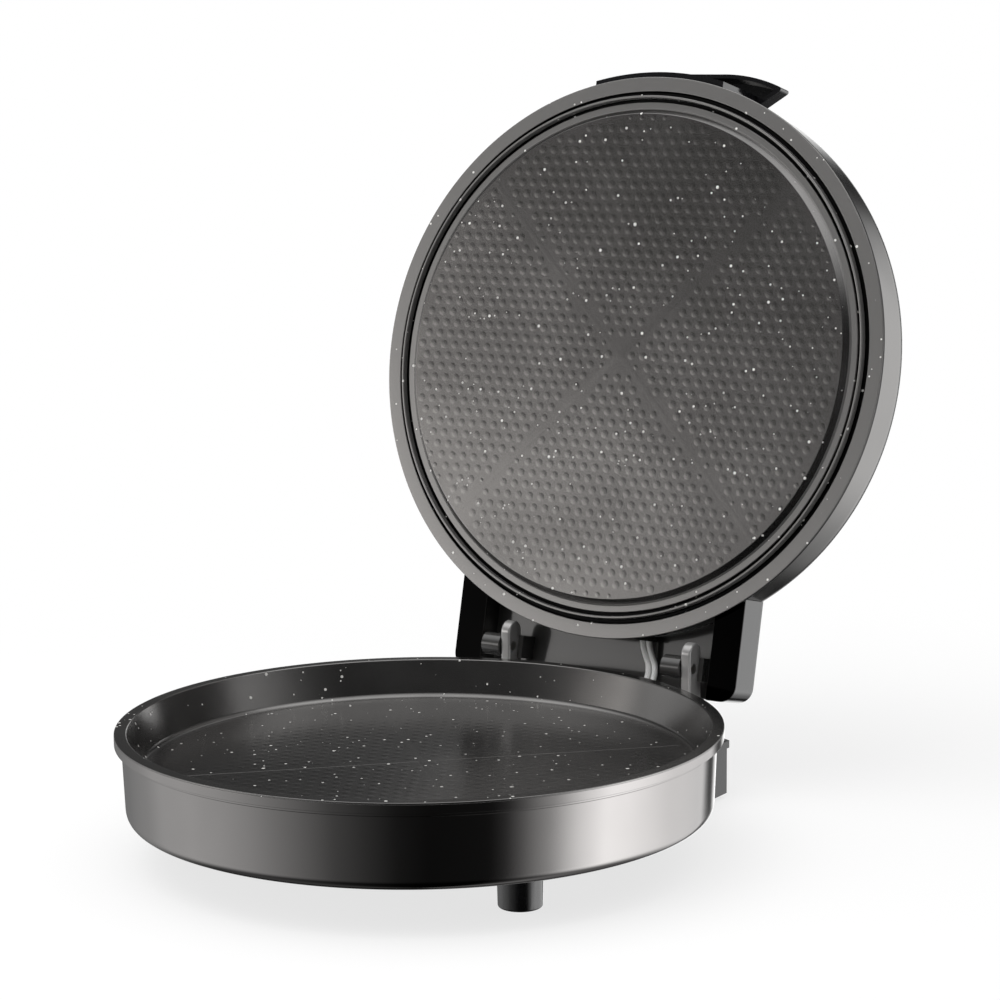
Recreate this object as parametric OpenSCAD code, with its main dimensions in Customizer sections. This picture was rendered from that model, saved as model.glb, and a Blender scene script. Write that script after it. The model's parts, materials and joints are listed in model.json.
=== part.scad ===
// Countertop pizza maker with a hinged lid, shown with the lid open.
// Units are millimetres. +X is to the right, +Y to the hinge, +Z up.
// The origin is the middle of the open appliance's footprint, on the counter.

/* [Stance] */
// Height of the base shell's underside above the counter
foot_h = 26; // [20:0.5:34]
// Diameter of a front foot where it meets the base
foot_top_d = 25; // [20:0.5:32]
// Diameter of a front foot at the counter
foot_tip_d = 24; // [18:0.5:28]
// Distance of the front feet from the base's axis
foot_reach = 120; // [100:1:130]
// Angle of each front foot, measured from the front
foot_angle = 60; // [35:1:70]
// Thickness of the rubber discs under the feet
foot_pad_t = 3; // [2:0.5:4]
// Height of the rear rubber discs that the rear stand rests on
rear_pad_h = 2.8; // [2:0.1:4]

/* [Base] */
// Radius of the lower plate's rim
rim_r = 170; // [160:1:180]
// Height from the shell's underside to the top of the rim
base_h = 48.3; // [44:0.1:56]
// How far the shell's wall stands inside the rim
shell_inset = 4; // [3.4:0.1:6]
// Thickness of the pressed steel base shell
shell_wall = 1; // [0.8:0.1:1.6]
// Radius lost by the shell's wall from top to bottom
shell_taper = 1.6; // [0:0.1:4]
// Radius of the shell's rounded lower edge
shell_corner_r = 6; // [4:0.5:8]
// Width of the lip that turns inward under the base
shell_lip_w = 7; // [5:0.5:12]
// Height of the bead along the shell's top edge
bead_h = 2; // [1.5:0.1:3]
// Thickness of the bottom cover
cover_t = 2.6; // [2:0.1:3.5]

/* [Plates] */
// Height of the lower plate's rim band
rim_band_h = 5.9; // [4.5:0.1:7]
// Width of the lower plate's flat rim
rim_top_w = 6.8; // [5:0.1:7.2]
// Depth of the pan below the rim
pan_depth = 22; // [16:0.5:24]
// How far the pan's wall leans in on its way down
pan_run = 8; // [5:0.5:12]
// Thickness of both cast plates
plate_t = 2.5; // [2:0.1:3.2]
// How far the upper plate's flange reaches past the lower rim
flange_over = 3.7; // [2:0.1:5]
// Width of the upper plate's flat flange
flange_w = 8.9; // [7:0.1:10]
// Height of the upper plate's raised cooking face above its flange
plateau_h = 4.6; // [3:0.1:6]
// Height of the thin lip round the upper plate
lip_h = 3.2; // [2:0.1:4]
// Depth of the two channels beside the lip
channel_d = 1.8; // [1:0.1:2.4]
// Width of the smooth bands that cross the cooking faces
band_w = 5; // [3:0.5:8]
// Height of the smooth bands
band_h = 0.35; // [0.2:0.05:0.6]

/* [Lid] */
// How far the lid shell stands inside the upper flange
lid_inset = 1.7; // [1:0.1:3]
// Height of the lid's straight side wall
lid_side_h = 25.5; // [20:0.5:30]
// Height of the lid from its flange to the top of the dome
lid_h = 58; // [54:0.5:66]
// Radius of the lid's shoulder
lid_shoulder_r = 24; // [18:0.5:26]
// Thickness of the pressed steel lid shell
lid_wall = 1; // [0.8:0.1:1.6]
// Diameter of an indicator lens
lens_d = 8; // [6:0.5:12]
// Distance between the two indicator lenses
lens_gap = 26; // [18:1:40]
// Distance of the lenses from the lid's axis
lens_reach = 96; // [70:1:110]

/* [Handle] */
// Width of the grip
handle_w = 134; // [120:1:140]
// How far the middle of the grip stands out from the lid's side
handle_out = 12.2; // [10:0.1:16]
// Height of the grip's underside above the flange
handle_z = 41; // [38:0.5:44]
// Height of the grip
handle_h = 11; // [9:0.5:13]
// Half width of the straight part of the grip's front
handle_flat = 25; // [15:1:30]
// Radius of the arcs beside the straight part
handle_arc_r = 105; // [95:1:130]
// How far the apron under the grip stands out from the lid's side
apron_out = 5.5; // [4.5:0.1:7]
// Wall of the hollow handle
handle_wall = 2.5; // [2:0.1:3.5]

/* [Hinge] */
// Distance from the rim to the hinge axis, seen from above
hinge_out = 15; // [12:0.5:20]
// Height of the hinge axis above the rim
hinge_rise = 3; // [2:0.1:5]
// Gap between the rims when the lid is closed
lid_gap = 0.5; // [0.3:0.1:1]
// Angle of the open lid, from closed
open_angle = 103.46; // [95:0.01:104]
// Radius of a hinge pin
pin_r = 3; // [2:0.1:3.5]
// Radial clearance of a pin in the lid's barrels
pin_clear = 0.05; // [0.02:0.01:0.1]
// Radius of the lid's hinge barrels
barrel_r = 7; // [6:0.1:8]
// Thickness of a hinge ear
ear_t = 6.5; // [6:0.5:8]
// Depth of a hinge ear from front to back
ear_d = 14.2; // [13:0.1:15]
// Distance of an ear's place from the middle of the hinge
ear_x = 64; // [62:0.5:66]
// How far both ears stand to the right of their places
ear_shift = 5; // [4:0.5:6]
// Height of the ears above the hinge axis
ear_rise = 15.5; // [13:0.5:16]
// Side gap between an ear and the lid's barrels
ear_gap = 0.3; // [0.2:0.05:0.6]
// Length of a barrel
barrel_l = 12.5; // [8:0.1:14]

/* [Bracket] */
// Width of the lid's hinge bracket
bracket_w = 200; // [190:1:210]
// Width of each leg of the bracket
leg_w = 19; // [18:1:20]
// Distance from the hinge axis to the bracket's tail
tail_l = 17.5; // [16:0.5:20]
// Distance from the hinge axis to the legs' front face
leg_front = 3; // [2:0.1:4]
// Distance from the hinge axis to the back of the bracket
bracket_back = 26.5; // [25:0.5:30]
// Distance from the hinge axis to the panel between the legs
panel_front = 19; // [18.5:0.1:20]
// Radius of the bracket's lower corners
bracket_corner_r = 10; // [6:0.5:14]
// Wall of the moulded hinge bracket and its cover
bracket_wall = 2.5; // [2:0.1:3]

/* [Rear stand] */
// Half width of the rear stand
stand_half_w = 93; // [86:1:100]
// Distance from the hinge axis to the rear stand's curved back, seen from above
stand_out = 25.6; // [21:0.2:31]
// Height of the rear stand's top above the counter
stand_top = 35.3; // [34:0.1:38]
// How far the stand reaches inward under the base, past the shell's lip
stand_under = 16.4; // [11:0.2:26]
// Wall of the rear stand
stand_wall = 2.5; // [2:0.1:3.5]
// How far the lip round the top of the stand stands out
stand_lip = 1.2; // [0.6:0.1:2]
// Height of that lip
stand_lip_h = 4.5; // [3:0.5:6]

/* [Heating] */
// Diameter of the heating tubes
heater_d = 6.5; // [5:0.1:8]
// Radius of the heating rings
heater_r = 105; // [90:1:120]
// Half angle left open where a heating ring's ends turn away
heater_open = 12; // [9:1:20]
// Thickness of the reflectors
reflector_t = 0.6; // [0.4:0.1:1]
// Radius of the reflectors
reflector_r = 138; // [128:1:142]
// Diameter of the heater leads between base and lid
lead_d = 3.3; // [2.8:0.1:4]

/* [Hidden] */
$fn = 96;

// Small clearance between pieces of one body that are seated together
seat = 0.2;
// Radial clearance of a screw's shank or a pin pressed into its own piece
snug = 0.05;
// How far a cutting shape runs past what it cuts
over = 1;

// Heights in the base
rim_z = foot_h + base_h;
shell_top = rim_z - rim_band_h - seat;
shell_r = rim_r - shell_inset;
shell_low_r = shell_r - shell_taper;
shell_flat_r = shell_low_r - shell_corner_r;
shell_hole_r = shell_flat_r - shell_lip_w;
cover_top = foot_h + shell_wall + seat + cover_t;
bead_r = shell_r + 1.2;
rim_skirt_t = rim_r - bead_r + 0.3;

// Pan of the lower plate
pan_top_r = rim_r - rim_top_w;
pan_floor_r = pan_top_r - pan_run;
pan_floor_z = rim_z - pan_depth;
pan_under_z = pan_floor_z - plate_t;
pan_fillet = 4;
rim_edge = 0.8;

// Upper plate, in radii from its axis and heights above its flange
flange_r = rim_r + flange_over;
flange_in_r = flange_r - flange_w;
lip_out_r = flange_in_r - 3.3;
lip_in_r = lip_out_r - 1.3;
ring_out_r = lip_in_r - 2.7;
ring_in_r = ring_out_r - 4.1;
ring_rise = 1.2;
plateau_r = ring_in_r - 3.5;
channel_back = channel_d + plate_t - 0.1;
channel_back_r = flange_in_r + 1.2;
plateau_back = plate_t - plateau_h;

// Lid shell
lid_r = flange_r - lid_inset;
shoulder_in_r = lid_r - lid_shoulder_r;
crown_rise = lid_h - lid_side_h;
crown_r = (pow(shoulder_in_r, 2) + pow(crown_rise, 2) - pow(lid_shoulder_r, 2))
    / (2 * (crown_rise - lid_shoulder_r));
lid_seam = 0.6;
lid_lip_w = 5;

// Hinge
hinge_y = rim_r + hinge_out;
hinge_z = rim_z + hinge_rise;
lid_reach = hinge_y;
lid_drop = hinge_rise - lid_gap;
ear_front_wall = 1.6;
ear_y = hinge_y - pin_r - ear_front_wall;
ear_foot_w = 22;
ear_foot_t = 3;
ear_foot_d = 15;
ear_screw_x = 7.6;
barrel_end = ear_t / 2 + ear_gap;
guard_x = ear_t / 2 + 0.5;
guard_t = 3;
guard_front = 5;
leg_in_x = bracket_w / 2 - leg_w;
stop_gap = 0.35;
stop_h = 6;

// Lid bracket, in heights above the upper flange
tail_y = lid_reach + tail_l;
bracket_low = lid_drop + leg_front;
bracket_top = lid_drop + bracket_back;
panel_low = lid_drop + panel_front;
tray_top = bracket_top - bracket_wall;
bracket_depth = 90;
bracket_screw_turn = 59;
bracket_screw_z = lid_side_h - 9;

// Handle
handle_r = lid_r + handle_out;
handle_top = handle_z + handle_h;
handle_back = 36;
handle_tip = 8.6;
handle_neck = 50;
apron_r = lid_r + apron_out;
apron_z = 4;
apron_low_w = 45;
apron_high_w = 50.6;
handle_screw_turn = 10.5;
handle_screw_l = 4.5;

// Feet
foot_x = foot_reach * sin(foot_angle);
foot_y = -foot_reach * cos(foot_angle);
foot_lift = 0.5;
foot_pad_r = foot_tip_d / 2 - 3;
foot_screw_bite = 12;

// Rear stand
stand_r = hinge_y + stand_out;
stand_in_r = shell_hole_r - stand_under;
stand_boss_h = 10;
ear_boss_l = 14;
ear_screw_bite = 8;
rear_pad_x = stand_half_w - 16;
rear_pad_reach = stand_r - 15;
rear_pad_y = sqrt(pow(rear_pad_reach, 2) - pow(rear_pad_x, 2));
rear_pad_r = 9;
rear_pad_seat = 2;

// Supports inside the base
post_r = 5;
post_gap = 5.55;
clip_ear = 7;
post_reach = heater_r + heater_d / 2 + seat + clip_ear + post_gap + post_r;
post_angles = [-90, 30, 150];
screw_r = 1.5;
screw_head_r = 3;
screw_head_h = 2;
stand_screw_reach = (stand_in_r + shell_hole_r) / 2;
stand_screw_angles = [67, 90, 113];

// Heating pieces
heater_z = pan_under_z - seat - heater_d / 2;
reflector_z = heater_z - heater_d / 2 - 3.5;
upper_heater_z = plateau_back + seat + heater_d / 2;
upper_reflector_z = upper_heater_z + heater_d / 2 + 3.5;
heater_pin_r = 1.6;
heater_pin_l = 7;
heater_end_l = 9;
clip_w = 9;
clip_t = 0.8;
clip_angles = [-90, 0, 180];
stud_r = 3;
stud_gap = 3.55;
stud_reach = heater_r + heater_d / 2 + seat + clip_ear + stud_gap + stud_r;
stud_angles = [-90, 30, 150];

// Thermal fuse
fuse_x = -40;
fuse_y = 60;
fuse_r = 2.2;
fuse_l = 16;
fuse_wire_l = 8;

// Terminal blocks, and the hole in the bottom cover that the leads pass
cover_hole_in = 12.4;
cover_hole_y = shell_hole_r - cover_hole_in;
block_x = 35;
block_y = cover_hole_y - 24;
block_w = 24;
block_d = 14;
block_h = 9;
lid_block_y = lid_reach - 51;
lid_block_z = 11;

// Leads between base and lid: two side by side about a hand-placed middle line
lead_space = 4.4;
lead_sides = 8;
wire_r = 1.1;
grommet_x = 35;
grommet_y = hinge_y + 7;
lid_hole_x = 31;
lid_hole_z = 14;
grommet_wall = 1.8;
gland_turn = 12;
gland_z = 16;
gland_r = 3.6;
gland_wall = 1.9;
// Distance of each point from the hinge axis, to the back and up
lead_route = [[31, 24.5, 46.4], [31, 22.7, 40], [31, 20.6, 34.5], [31, 18.6, 28], [31, 16.5, 21],
    [31, 15.1, 14], [31.4, 14, 8.5], [33, 14.6, 1], [34.6, 14.9, -4], [35.5, 13.5, -9], [35.5, 11, -14],
    [35.2, 8.6, -21], [35, 7.3, -29], [35, 7, -37], [35, 6.5, -45], [35, 3, -52], [35, -4, -57.5],
    [35, -14, -60], [35, -26, -60.4], [35, -36, -59.6], [35, -42.5, -57], [35, -45.6, -52.5],
    [35, -46.2, -48.5], [35, -47.8, -45.2], [35, -51, -43.4], [35, -55.7, -43]];

// Middle of the open appliance from front to back
back_y = hinge_y - (lid_reach + handle_r) * cos(open_angle) + (handle_top - lid_drop) * sin(open_angle);
mid_y = (back_y - rim_r) / 2;

// ---- Placing ----

// Base pieces are drawn about the base's axis with the counter at zero.
module in_base() {
    translate([0, -mid_y, 0]) children();
}

// Lid pieces are drawn closed, about the lid's axis with the flange's cooking side at zero.
module in_lid() {
    in_base()
        translate([0, hinge_y, hinge_z])
            rotate([-open_angle, 0, 0])
                translate([0, -lid_reach, -lid_drop]) children();
}

// A copy on each side of the middle
module both_sides() {
    children();
    mirror([1, 0, 0]) children();
}

// The places of the two ears, which stand the same way round
module at_ears() {
    for (side = [-1, 1]) translate([side * ear_x + ear_shift, 0, 0]) children();
}

// Copies at the given angles and distance from the axis
module around(angles, reach) {
    for (a = angles) rotate([0, 0, a]) translate([reach, 0, 0]) children();
}

// A ring standing on its lower edge
module ring(outer, inner, height) {
    difference() {
        cylinder(r = outer, h = height);
        translate([0, 0, -over]) cylinder(r = inner, h = height + 2 * over);
    }
}

// A pan-head screw whose head's underside is at zero and whose shank runs down
module screw(length, r = screw_r, head_r = screw_head_r) {
    difference() {
        cylinder(r = head_r, h = screw_head_h);
        translate([0, 0, screw_head_h - 0.9])
            for (turn = [0, 90]) rotate([0, 0, turn])
                translate([-head_r * 0.7, -0.4, 0]) cube([head_r * 1.4, 0.8, over + 1]);
    }
    translate([0, 0, -length]) cylinder(r = r, h = length);
}

// ---- Swept wires ----

function cut(list, i) = list[max(0, min(len(list) - 1, i))];
function along(i, points) = let (d = cut(points, i + 1) - cut(points, i - 1)) d / norm(d);
function side_of(t) = let (s = [1, 0, 0] - t[0] * t) s / norm(s);
// Points of a smooth curve through the given ones, n to a stretch
function smooth(points, n = 4) = [for (i = [0:len(points) - 2]) for (k = [0:n - 1])
    let (p = cut(points, i - 1), q = points[i], r = points[i + 1], s = cut(points, i + 2), t = k / n)
        q + 0.5 * t * ((r - p) + t * ((2 * p - 5 * q + 4 * r - s) + t * (3 * (q - r) + s - p))),
    points[len(points) - 1]];

// Round wire swept along a list of points
module wire(points, r) {
    n = len(points);
    rings = [for (i = [0:n - 1]) let (t = along(i, points), s = side_of(t), u = cross(t, s))
        for (k = [0:lead_sides - 1]) let (a = 360 * k / lead_sides)
            points[i] + r * (cos(a) * s + sin(a) * u)];
    skin = [for (i = [0:n - 2]) for (k = [0:lead_sides - 1]) let (m = (k + 1) % lead_sides)
        [i * lead_sides + k, (i + 1) * lead_sides + k, (i + 1) * lead_sides + m, i * lead_sides + m]];
    start = [[for (k = [0:lead_sides - 1]) k]];
    end = [[for (k = [lead_sides - 1:-1:0]) (n - 1) * lead_sides + k]];
    polyhedron(points = rings, faces = concat(start, skin, end));
}

// ---- Base ----

// Outline of the shell, moved in by t, as a closed half section
module shell_outline(t, top) {
    corner_z = foot_h + shell_corner_r;
    polygon([[0, foot_h + t], [shell_flat_r, foot_h + t], [shell_flat_r, corner_z],
        [shell_low_r - t, corner_z], [shell_r - t, shell_top - bead_h], [shell_r - t, top], [0, top]]);
    translate([shell_flat_r, corner_z]) circle(r = shell_corner_r - t);
}

// Pressed steel drum with a beaded top edge and a lip turned in below
module base_shell() {
    color("dimgray")
    in_base()
        rotate_extrude()
            difference() {
                union() {
                    intersection() {
                        shell_outline(0, shell_top);
                        square([rim_r, shell_top]);
                    }
                    translate([shell_r - shell_wall, shell_top - bead_h])
                        square([bead_r - shell_r + shell_wall, bead_h]);
                }
                intersection() {
                    shell_outline(shell_wall, shell_top + over);
                    square([rim_r, shell_top + over]);
                }
                square([shell_hole_r, foot_h + shell_wall + over]);
            }
}

module cover_slot(length) {
    for (end = [0, length]) translate([end, 0, 0]) cylinder(r = 1.6, h = cover_t + 2 * over);
    translate([0, -1.6, 0]) cube([length, 3.2, cover_t + 2 * over]);
}

// Moulded disc that closes the base from below, with rows of cooling slots
module bottom_cover() {
    low = foot_h + seat;
    flange_low = foot_h + shell_wall + seat;
    flange_reach = shell_flat_r - 2;
    color("#1c1c1e")
    in_base()
        difference() {
            union() {
                translate([0, 0, low]) cylinder(r = shell_hole_r - seat, h = cover_top - low);
                translate([0, 0, flange_low]) cylinder(r = flange_reach, h = cover_t);
            }
            for (a = [0:15:345]) rotate([0, 0, a + 7.5])
                for (reach = [52, 78]) translate([reach, 0, low - over]) cover_slot(14);
            translate([0, 0, low - over])
                around(post_angles, post_reach) cylinder(r = screw_r + snug, h = 3 * cover_t);
            translate([0, 0, low - over])
                around(stand_screw_angles, stand_screw_reach) cylinder(r = screw_r + snug, h = 3 * cover_t);
            both_sides() translate([foot_x, foot_y, low - over])
                cylinder(r = screw_r + snug, h = 3 * cover_t);
            translate([grommet_x, cover_hole_y, low - over])
                cylinder(r = lead_space / 2 + lead_d / 2 + grommet_wall, h = 3 * cover_t);
        }
}

// Smooth bands that cross a round cooking face in its middle
module cross_bands(radius, height) {
    intersection() {
        cylinder(r = radius, h = height);
        for (turn = [45, 135]) rotate([0, 0, turn])
            translate([-radius, -band_w / 2, 0]) cube([2 * radius, band_w, height]);
    }
}

// Cast pan with a rolled rim, a leaning wall and a rounded floor edge
module lower_plate() {
    lean = pan_run / pan_depth;
    low_r = pan_floor_r + lean * pan_fillet;
    color("#2b2b2d")
    in_base() {
        difference() {
            rotate_extrude()
                difference() {
                    polygon([[0, pan_under_z], [pan_floor_r - pan_fillet, pan_under_z],
                        [low_r + plate_t, pan_floor_z + pan_fillet],
                        [pan_top_r - lean * 3 + plate_t, rim_z - 3],
                        [rim_r - rim_skirt_t, rim_z - 3], [rim_r - rim_skirt_t, rim_z - rim_band_h],
                        [rim_r, rim_z - rim_band_h], [rim_r, rim_z - rim_edge],
                        [rim_r - rim_edge, rim_z], [0, rim_z]]);
                    polygon([[0, pan_floor_z], [pan_floor_r - pan_fillet, pan_floor_z],
                        [pan_floor_r - pan_fillet * 0.3, pan_floor_z + pan_fillet * 0.3],
                        [low_r, pan_floor_z + pan_fillet],
                        [pan_top_r, rim_z], [pan_top_r, rim_z + over], [0, rim_z + over]]);
                }
            translate([0, 0, pan_under_z - over])
                around(post_angles, post_reach) cylinder(r = screw_r + snug, h = over + 1.2);
        }
        translate([0, 0, pan_floor_z]) cross_bands(pan_floor_r - pan_fillet - 1, band_h);
    }
}

// Where a heating tube's pin stands in plan, side -1 on the right and 1 on the left
function pin_at(side) = heater_r * [cos(90 + side * heater_open), sin(90 + side * heater_open)];

// Heating tube bent to an open ring, each end sealed in a bush with a pin below
module heating_ring() {
    rotate([0, 0, 90 + heater_open])
        rotate_extrude(angle = 360 - 2 * heater_open)
            translate([heater_r, 0]) circle(r = heater_d / 2, $fn = 32);
    for (side = [-1, 1]) translate([pin_at(side)[0], pin_at(side)[1], heater_d / 2 - 0.4]) mirror([0, 0, 1]) {
        cylinder(r = heater_d / 2 + 0.8, h = heater_end_l);
        cylinder(r = heater_pin_r, h = heater_end_l + heater_pin_l, $fn = 24);
    }
}

// Tubular element under the lower plate
module lower_heater() {
    color("#4a4542")
    in_base() translate([0, 0, heater_z]) heating_ring();
}

// Strap of thin steel that bridges a heating tube, drawn over a tube along Y
module heater_strap() {
    half = heater_d / 2 + seat;
    difference() {
        union() {
            translate([-half - clip_t, -clip_w / 2, -half - clip_t])
                cube([2 * (half + clip_t), clip_w, 2 * half + clip_t]);
            translate([-half - clip_ear, -clip_w / 2, half - clip_t])
                cube([2 * (half + clip_ear), clip_w, clip_t]);
        }
        translate([-half, -clip_w / 2 - over, -half]) cube([2 * half, clip_w + 2 * over, 3 * half]);
    }
}

// Straps that hold the lower tube against the plate
module heater_clips() {
    color("silver")
    in_base() translate([0, 0, heater_z])
        around(clip_angles, heater_r) heater_strap();
}

// Shallow bright dish below the lower tube
module lower_reflector() {
    pin_hole = heater_d / 2 + 2;
    color("gainsboro")
    in_base()
        difference() {
            union() {
                translate([0, 0, reflector_z]) cylinder(r = reflector_r, h = reflector_t);
                translate([0, 0, reflector_z]) ring(reflector_r, reflector_r - reflector_t, 4);
            }
            translate([0, 0, reflector_z - over]) {
                around(post_angles, post_reach) cylinder(r = post_r - 1.2, h = 3 * over);
                for (side = [-1, 1]) translate(pin_at(side)) cylinder(r = pin_hole, h = 3 * over);
                translate([0, 45, 0]) cylinder(r = 9, h = 3 * over);
            }
        }
}

// Spacers that carry the lower plate and the reflector on the cover
module support_posts() {
    lower_h = reflector_z - cover_top;
    upper_low = reflector_z + reflector_t;
    color("silver")
    in_base() around(post_angles, post_reach) {
        difference() {
            union() {
                translate([0, 0, cover_top]) cylinder(r = post_r, h = lower_h);
                translate([0, 0, reflector_z - over])
                    cylinder(r = post_r - 1.2 - snug, h = pan_under_z - reflector_z + over);
                translate([0, 0, upper_low]) cylinder(r = post_r, h = pan_under_z - upper_low);
            }
            translate([0, 0, cover_top - over])
                cylinder(r = screw_r + snug, h = pan_under_z - cover_top + 2 * over);
        }
    }
}

// Screws from below through cover and spacers into the lower plate
module cover_screws() {
    color("silver")
    in_base() around(post_angles, post_reach)
        translate([0, 0, foot_h + seat]) mirror([0, 0, 1])
            screw(pan_under_z - foot_h - seat + 0.9);
}

// Tapered front foot with a pocket for its rubber disc
module front_feet() {
    top = foot_h;
    color("#161617")
    in_base() both_sides() translate([foot_x, foot_y, 0])
        difference() {
            rotate_extrude()
                polygon([[0, foot_lift], [foot_tip_d / 2 - 0.8, foot_lift], [foot_tip_d / 2, foot_lift + 0.8],
                    [foot_top_d / 2, top], [0, top]]);
            translate([0, 0, -over]) cylinder(r = foot_pad_r + snug, h = foot_pad_t + over);
            translate([0, 0, foot_pad_t + 3]) cylinder(r = screw_r + snug, h = foot_h);
        }
}

// Rubber discs under the front feet
module front_foot_pads() {
    color("#0c0c0c")
    in_base() both_sides() translate([foot_x, foot_y, 0])
        rotate_extrude()
            polygon([[0, 0], [foot_pad_r - 0.4, 0], [foot_pad_r, 0.4], [foot_pad_r, foot_pad_t],
                [0, foot_pad_t]]);
}

// Screws from inside the base into the front feet
module foot_screws() {
    color("silver")
    in_base() both_sides() translate([foot_x, foot_y, cover_top]) screw(cover_t + foot_screw_bite);
}

// ---- Rear stand and hinge, base side ----

// Plan of the stand between two radii, w wide on each side
module stand_plan(outer, inner, w) {
    intersection() {
        difference() {
            circle(r = outer);
            circle(r = inner);
        }
        translate([-w, 0]) square([2 * w, outer + over]);
    }
}

module ear_foot_screws() {
    at_ears() for (side = [-1, 1]) translate([side * ear_screw_x, ear_y + ear_d / 2, stand_top]) children();
}

// Moulded crescent behind and under the base that carries the hinge
module rear_stand() {
    under_top = foot_h - seat;
    back_in_r = shell_r + 0.4;
    cavity_top = stand_top - 3;
    inner_r = stand_r - stand_wall;
    inner_w = stand_half_w - stand_wall;
    color("#232325")
    in_base()
        difference() {
            union() {
                translate([0, 0, rear_pad_h])
                    linear_extrude(under_top - rear_pad_h) stand_plan(stand_r, stand_in_r, stand_half_w);
                translate([0, 0, rear_pad_h])
                    linear_extrude(stand_top - rear_pad_h) stand_plan(stand_r, back_in_r, stand_half_w);
                translate([0, 0, stand_top - stand_lip_h])
                    linear_extrude(stand_lip_h)
                        stand_plan(stand_r + stand_lip, back_in_r, stand_half_w + stand_lip);
            }
            difference() {
                union() {
                    translate([0, 0, rear_pad_h - over])
                        linear_extrude(under_top - 3 - rear_pad_h + over)
                            stand_plan(inner_r, stand_in_r + stand_wall, inner_w);
                    translate([0, 0, rear_pad_h - over])
                        linear_extrude(cavity_top - rear_pad_h + over)
                            stand_plan(inner_r, back_in_r + stand_wall, inner_w);
                }
                both_sides() translate([rear_pad_x, rear_pad_y, rear_pad_h])
                    cylinder(r = rear_pad_r + 2, h = stand_top);
                translate([0, 0, rear_pad_h]) around(stand_screw_angles, stand_screw_reach)
                    translate([0, 0, stand_boss_h]) cylinder(r = 5, h = stand_top);
                ear_foot_screws() translate([0, 0, -ear_boss_l]) cylinder(r = 3.4, h = ear_boss_l);
            }
            both_sides() translate([rear_pad_x, rear_pad_y, 0])
                cylinder(r = rear_pad_r + snug, h = rear_pad_h + rear_pad_seat);
            translate([0, 0, rear_pad_h + stand_boss_h - over]) around(stand_screw_angles, stand_screw_reach) {
                cylinder(r = screw_r + snug, h = stand_top);
                cylinder(r = screw_head_r + 0.3, h = screw_head_h + over + 0.4);
            }
            ear_foot_screws() translate([0, 0, -ear_screw_bite - 2])
                cylinder(r = screw_r + snug, h = ear_screw_bite + 2 + over);
            translate([grommet_x, grommet_y, cavity_top - over]) grommet_slot(6, grommet_wall);
            translate([grommet_x, cover_hole_y, under_top - 3 - over])
                cylinder(r = lead_space / 2 + lead_d / 2 + grommet_wall + 0.6, h = 3 + 2 * over);
            rotate([0, 0, gland_turn]) translate([0, stand_r + 2, gland_z]) rotate([90, 0, 0])
                cylinder(r = gland_r + gland_wall, h = stand_wall + 4);
        }
}

// Rubber discs that the rear stand rests on
module rear_pads() {
    color("#0c0c0c")
    in_base() both_sides() translate([rear_pad_x, rear_pad_y, 0])
        rotate_extrude()
            polygon([[0, 0], [rear_pad_r - 0.5, 0], [rear_pad_r, 0.5],
                [rear_pad_r, rear_pad_h + rear_pad_seat], [0, rear_pad_h + rear_pad_seat]]);
}

// Screws that hold the stand to the bottom cover
module stand_screws() {
    color("silver")
    in_base() around(stand_screw_angles, stand_screw_reach)
        translate([0, 0, rear_pad_h + stand_boss_h + screw_head_h + 0.4]) mirror([0, 0, 1])
            screw(cover_top - rear_pad_h - stand_boss_h - screw_head_h - 0.6);
}

// One ear: a round-topped plate on a screwed foot, with a nose that stops the lid
module hinge_ear() {
    top_r = ear_d / 2;
    top_z = hinge_z + ear_rise - top_r;
    // The nose meets the bracket's panel just above its tail
    nose_v = tail_l - 1;
    nose_y = hinge_y + (panel_front - stop_gap) * sin(open_angle) + nose_v * cos(open_angle);
    nose_z = hinge_z + (panel_front - stop_gap) * cos(open_angle) - nose_v * sin(open_angle);
    difference() {
        union() {
            translate([-ear_t / 2, ear_y, stand_top]) cube([ear_t, ear_d, top_z - stand_top]);
            translate([-ear_t / 2, ear_y + top_r, top_z]) rotate([0, 90, 0])
                cylinder(r = top_r, h = ear_t);
            translate([-ear_t / 2, ear_y + ear_d - over, nose_z - stop_h])
                cube([ear_t, nose_y - ear_y - ear_d + over, stop_h]);
            translate([-ear_foot_w / 2, ear_y + ear_d / 2 - ear_foot_d / 2, stand_top])
                cube([ear_foot_w, ear_foot_d, ear_foot_t]);
        }
        translate([-ear_t / 2 - over, hinge_y, hinge_z]) rotate([0, 90, 0])
            cylinder(r = pin_r + snug / 2, h = ear_t + 2 * over);
        for (side = [-1, 1]) translate([side * ear_screw_x, ear_y + ear_d / 2, stand_top - over])
            cylinder(r = screw_r + snug, h = ear_foot_t + 2 * over);
    }
}

module hinge_ears() {
    color("#3a3a3d")
    in_base() at_ears() hinge_ear();
}

module ear_screws() {
    color("silver")
    in_base() ear_foot_screws() translate([0, 0, ear_foot_t]) screw(ear_foot_t + ear_screw_bite);
}

// Steel pins pressed into the ears, with their free ends in the lid's barrels
module hinge_pins() {
    inner = -barrel_end - barrel_l + 1;
    color("silver")
    in_base() at_ears() translate([inner, hinge_y, hinge_z]) rotate([0, 90, 0])
        cylinder(r = pin_r, h = ear_t / 2 - inner);
}

// Plan of a hole or bush for the two leads, grown by w
module lead_pair_plan(w) {
    for (side = [-1, 1]) translate([side * lead_space / 2, 0]) circle(r = lead_d / 2 + w);
    translate([-lead_space / 2, -lead_d / 2 - w]) square([lead_space, lead_d + 2 * w]);
}

module grommet_slot(height, w) {
    linear_extrude(height) lead_pair_plan(w);
}

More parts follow.
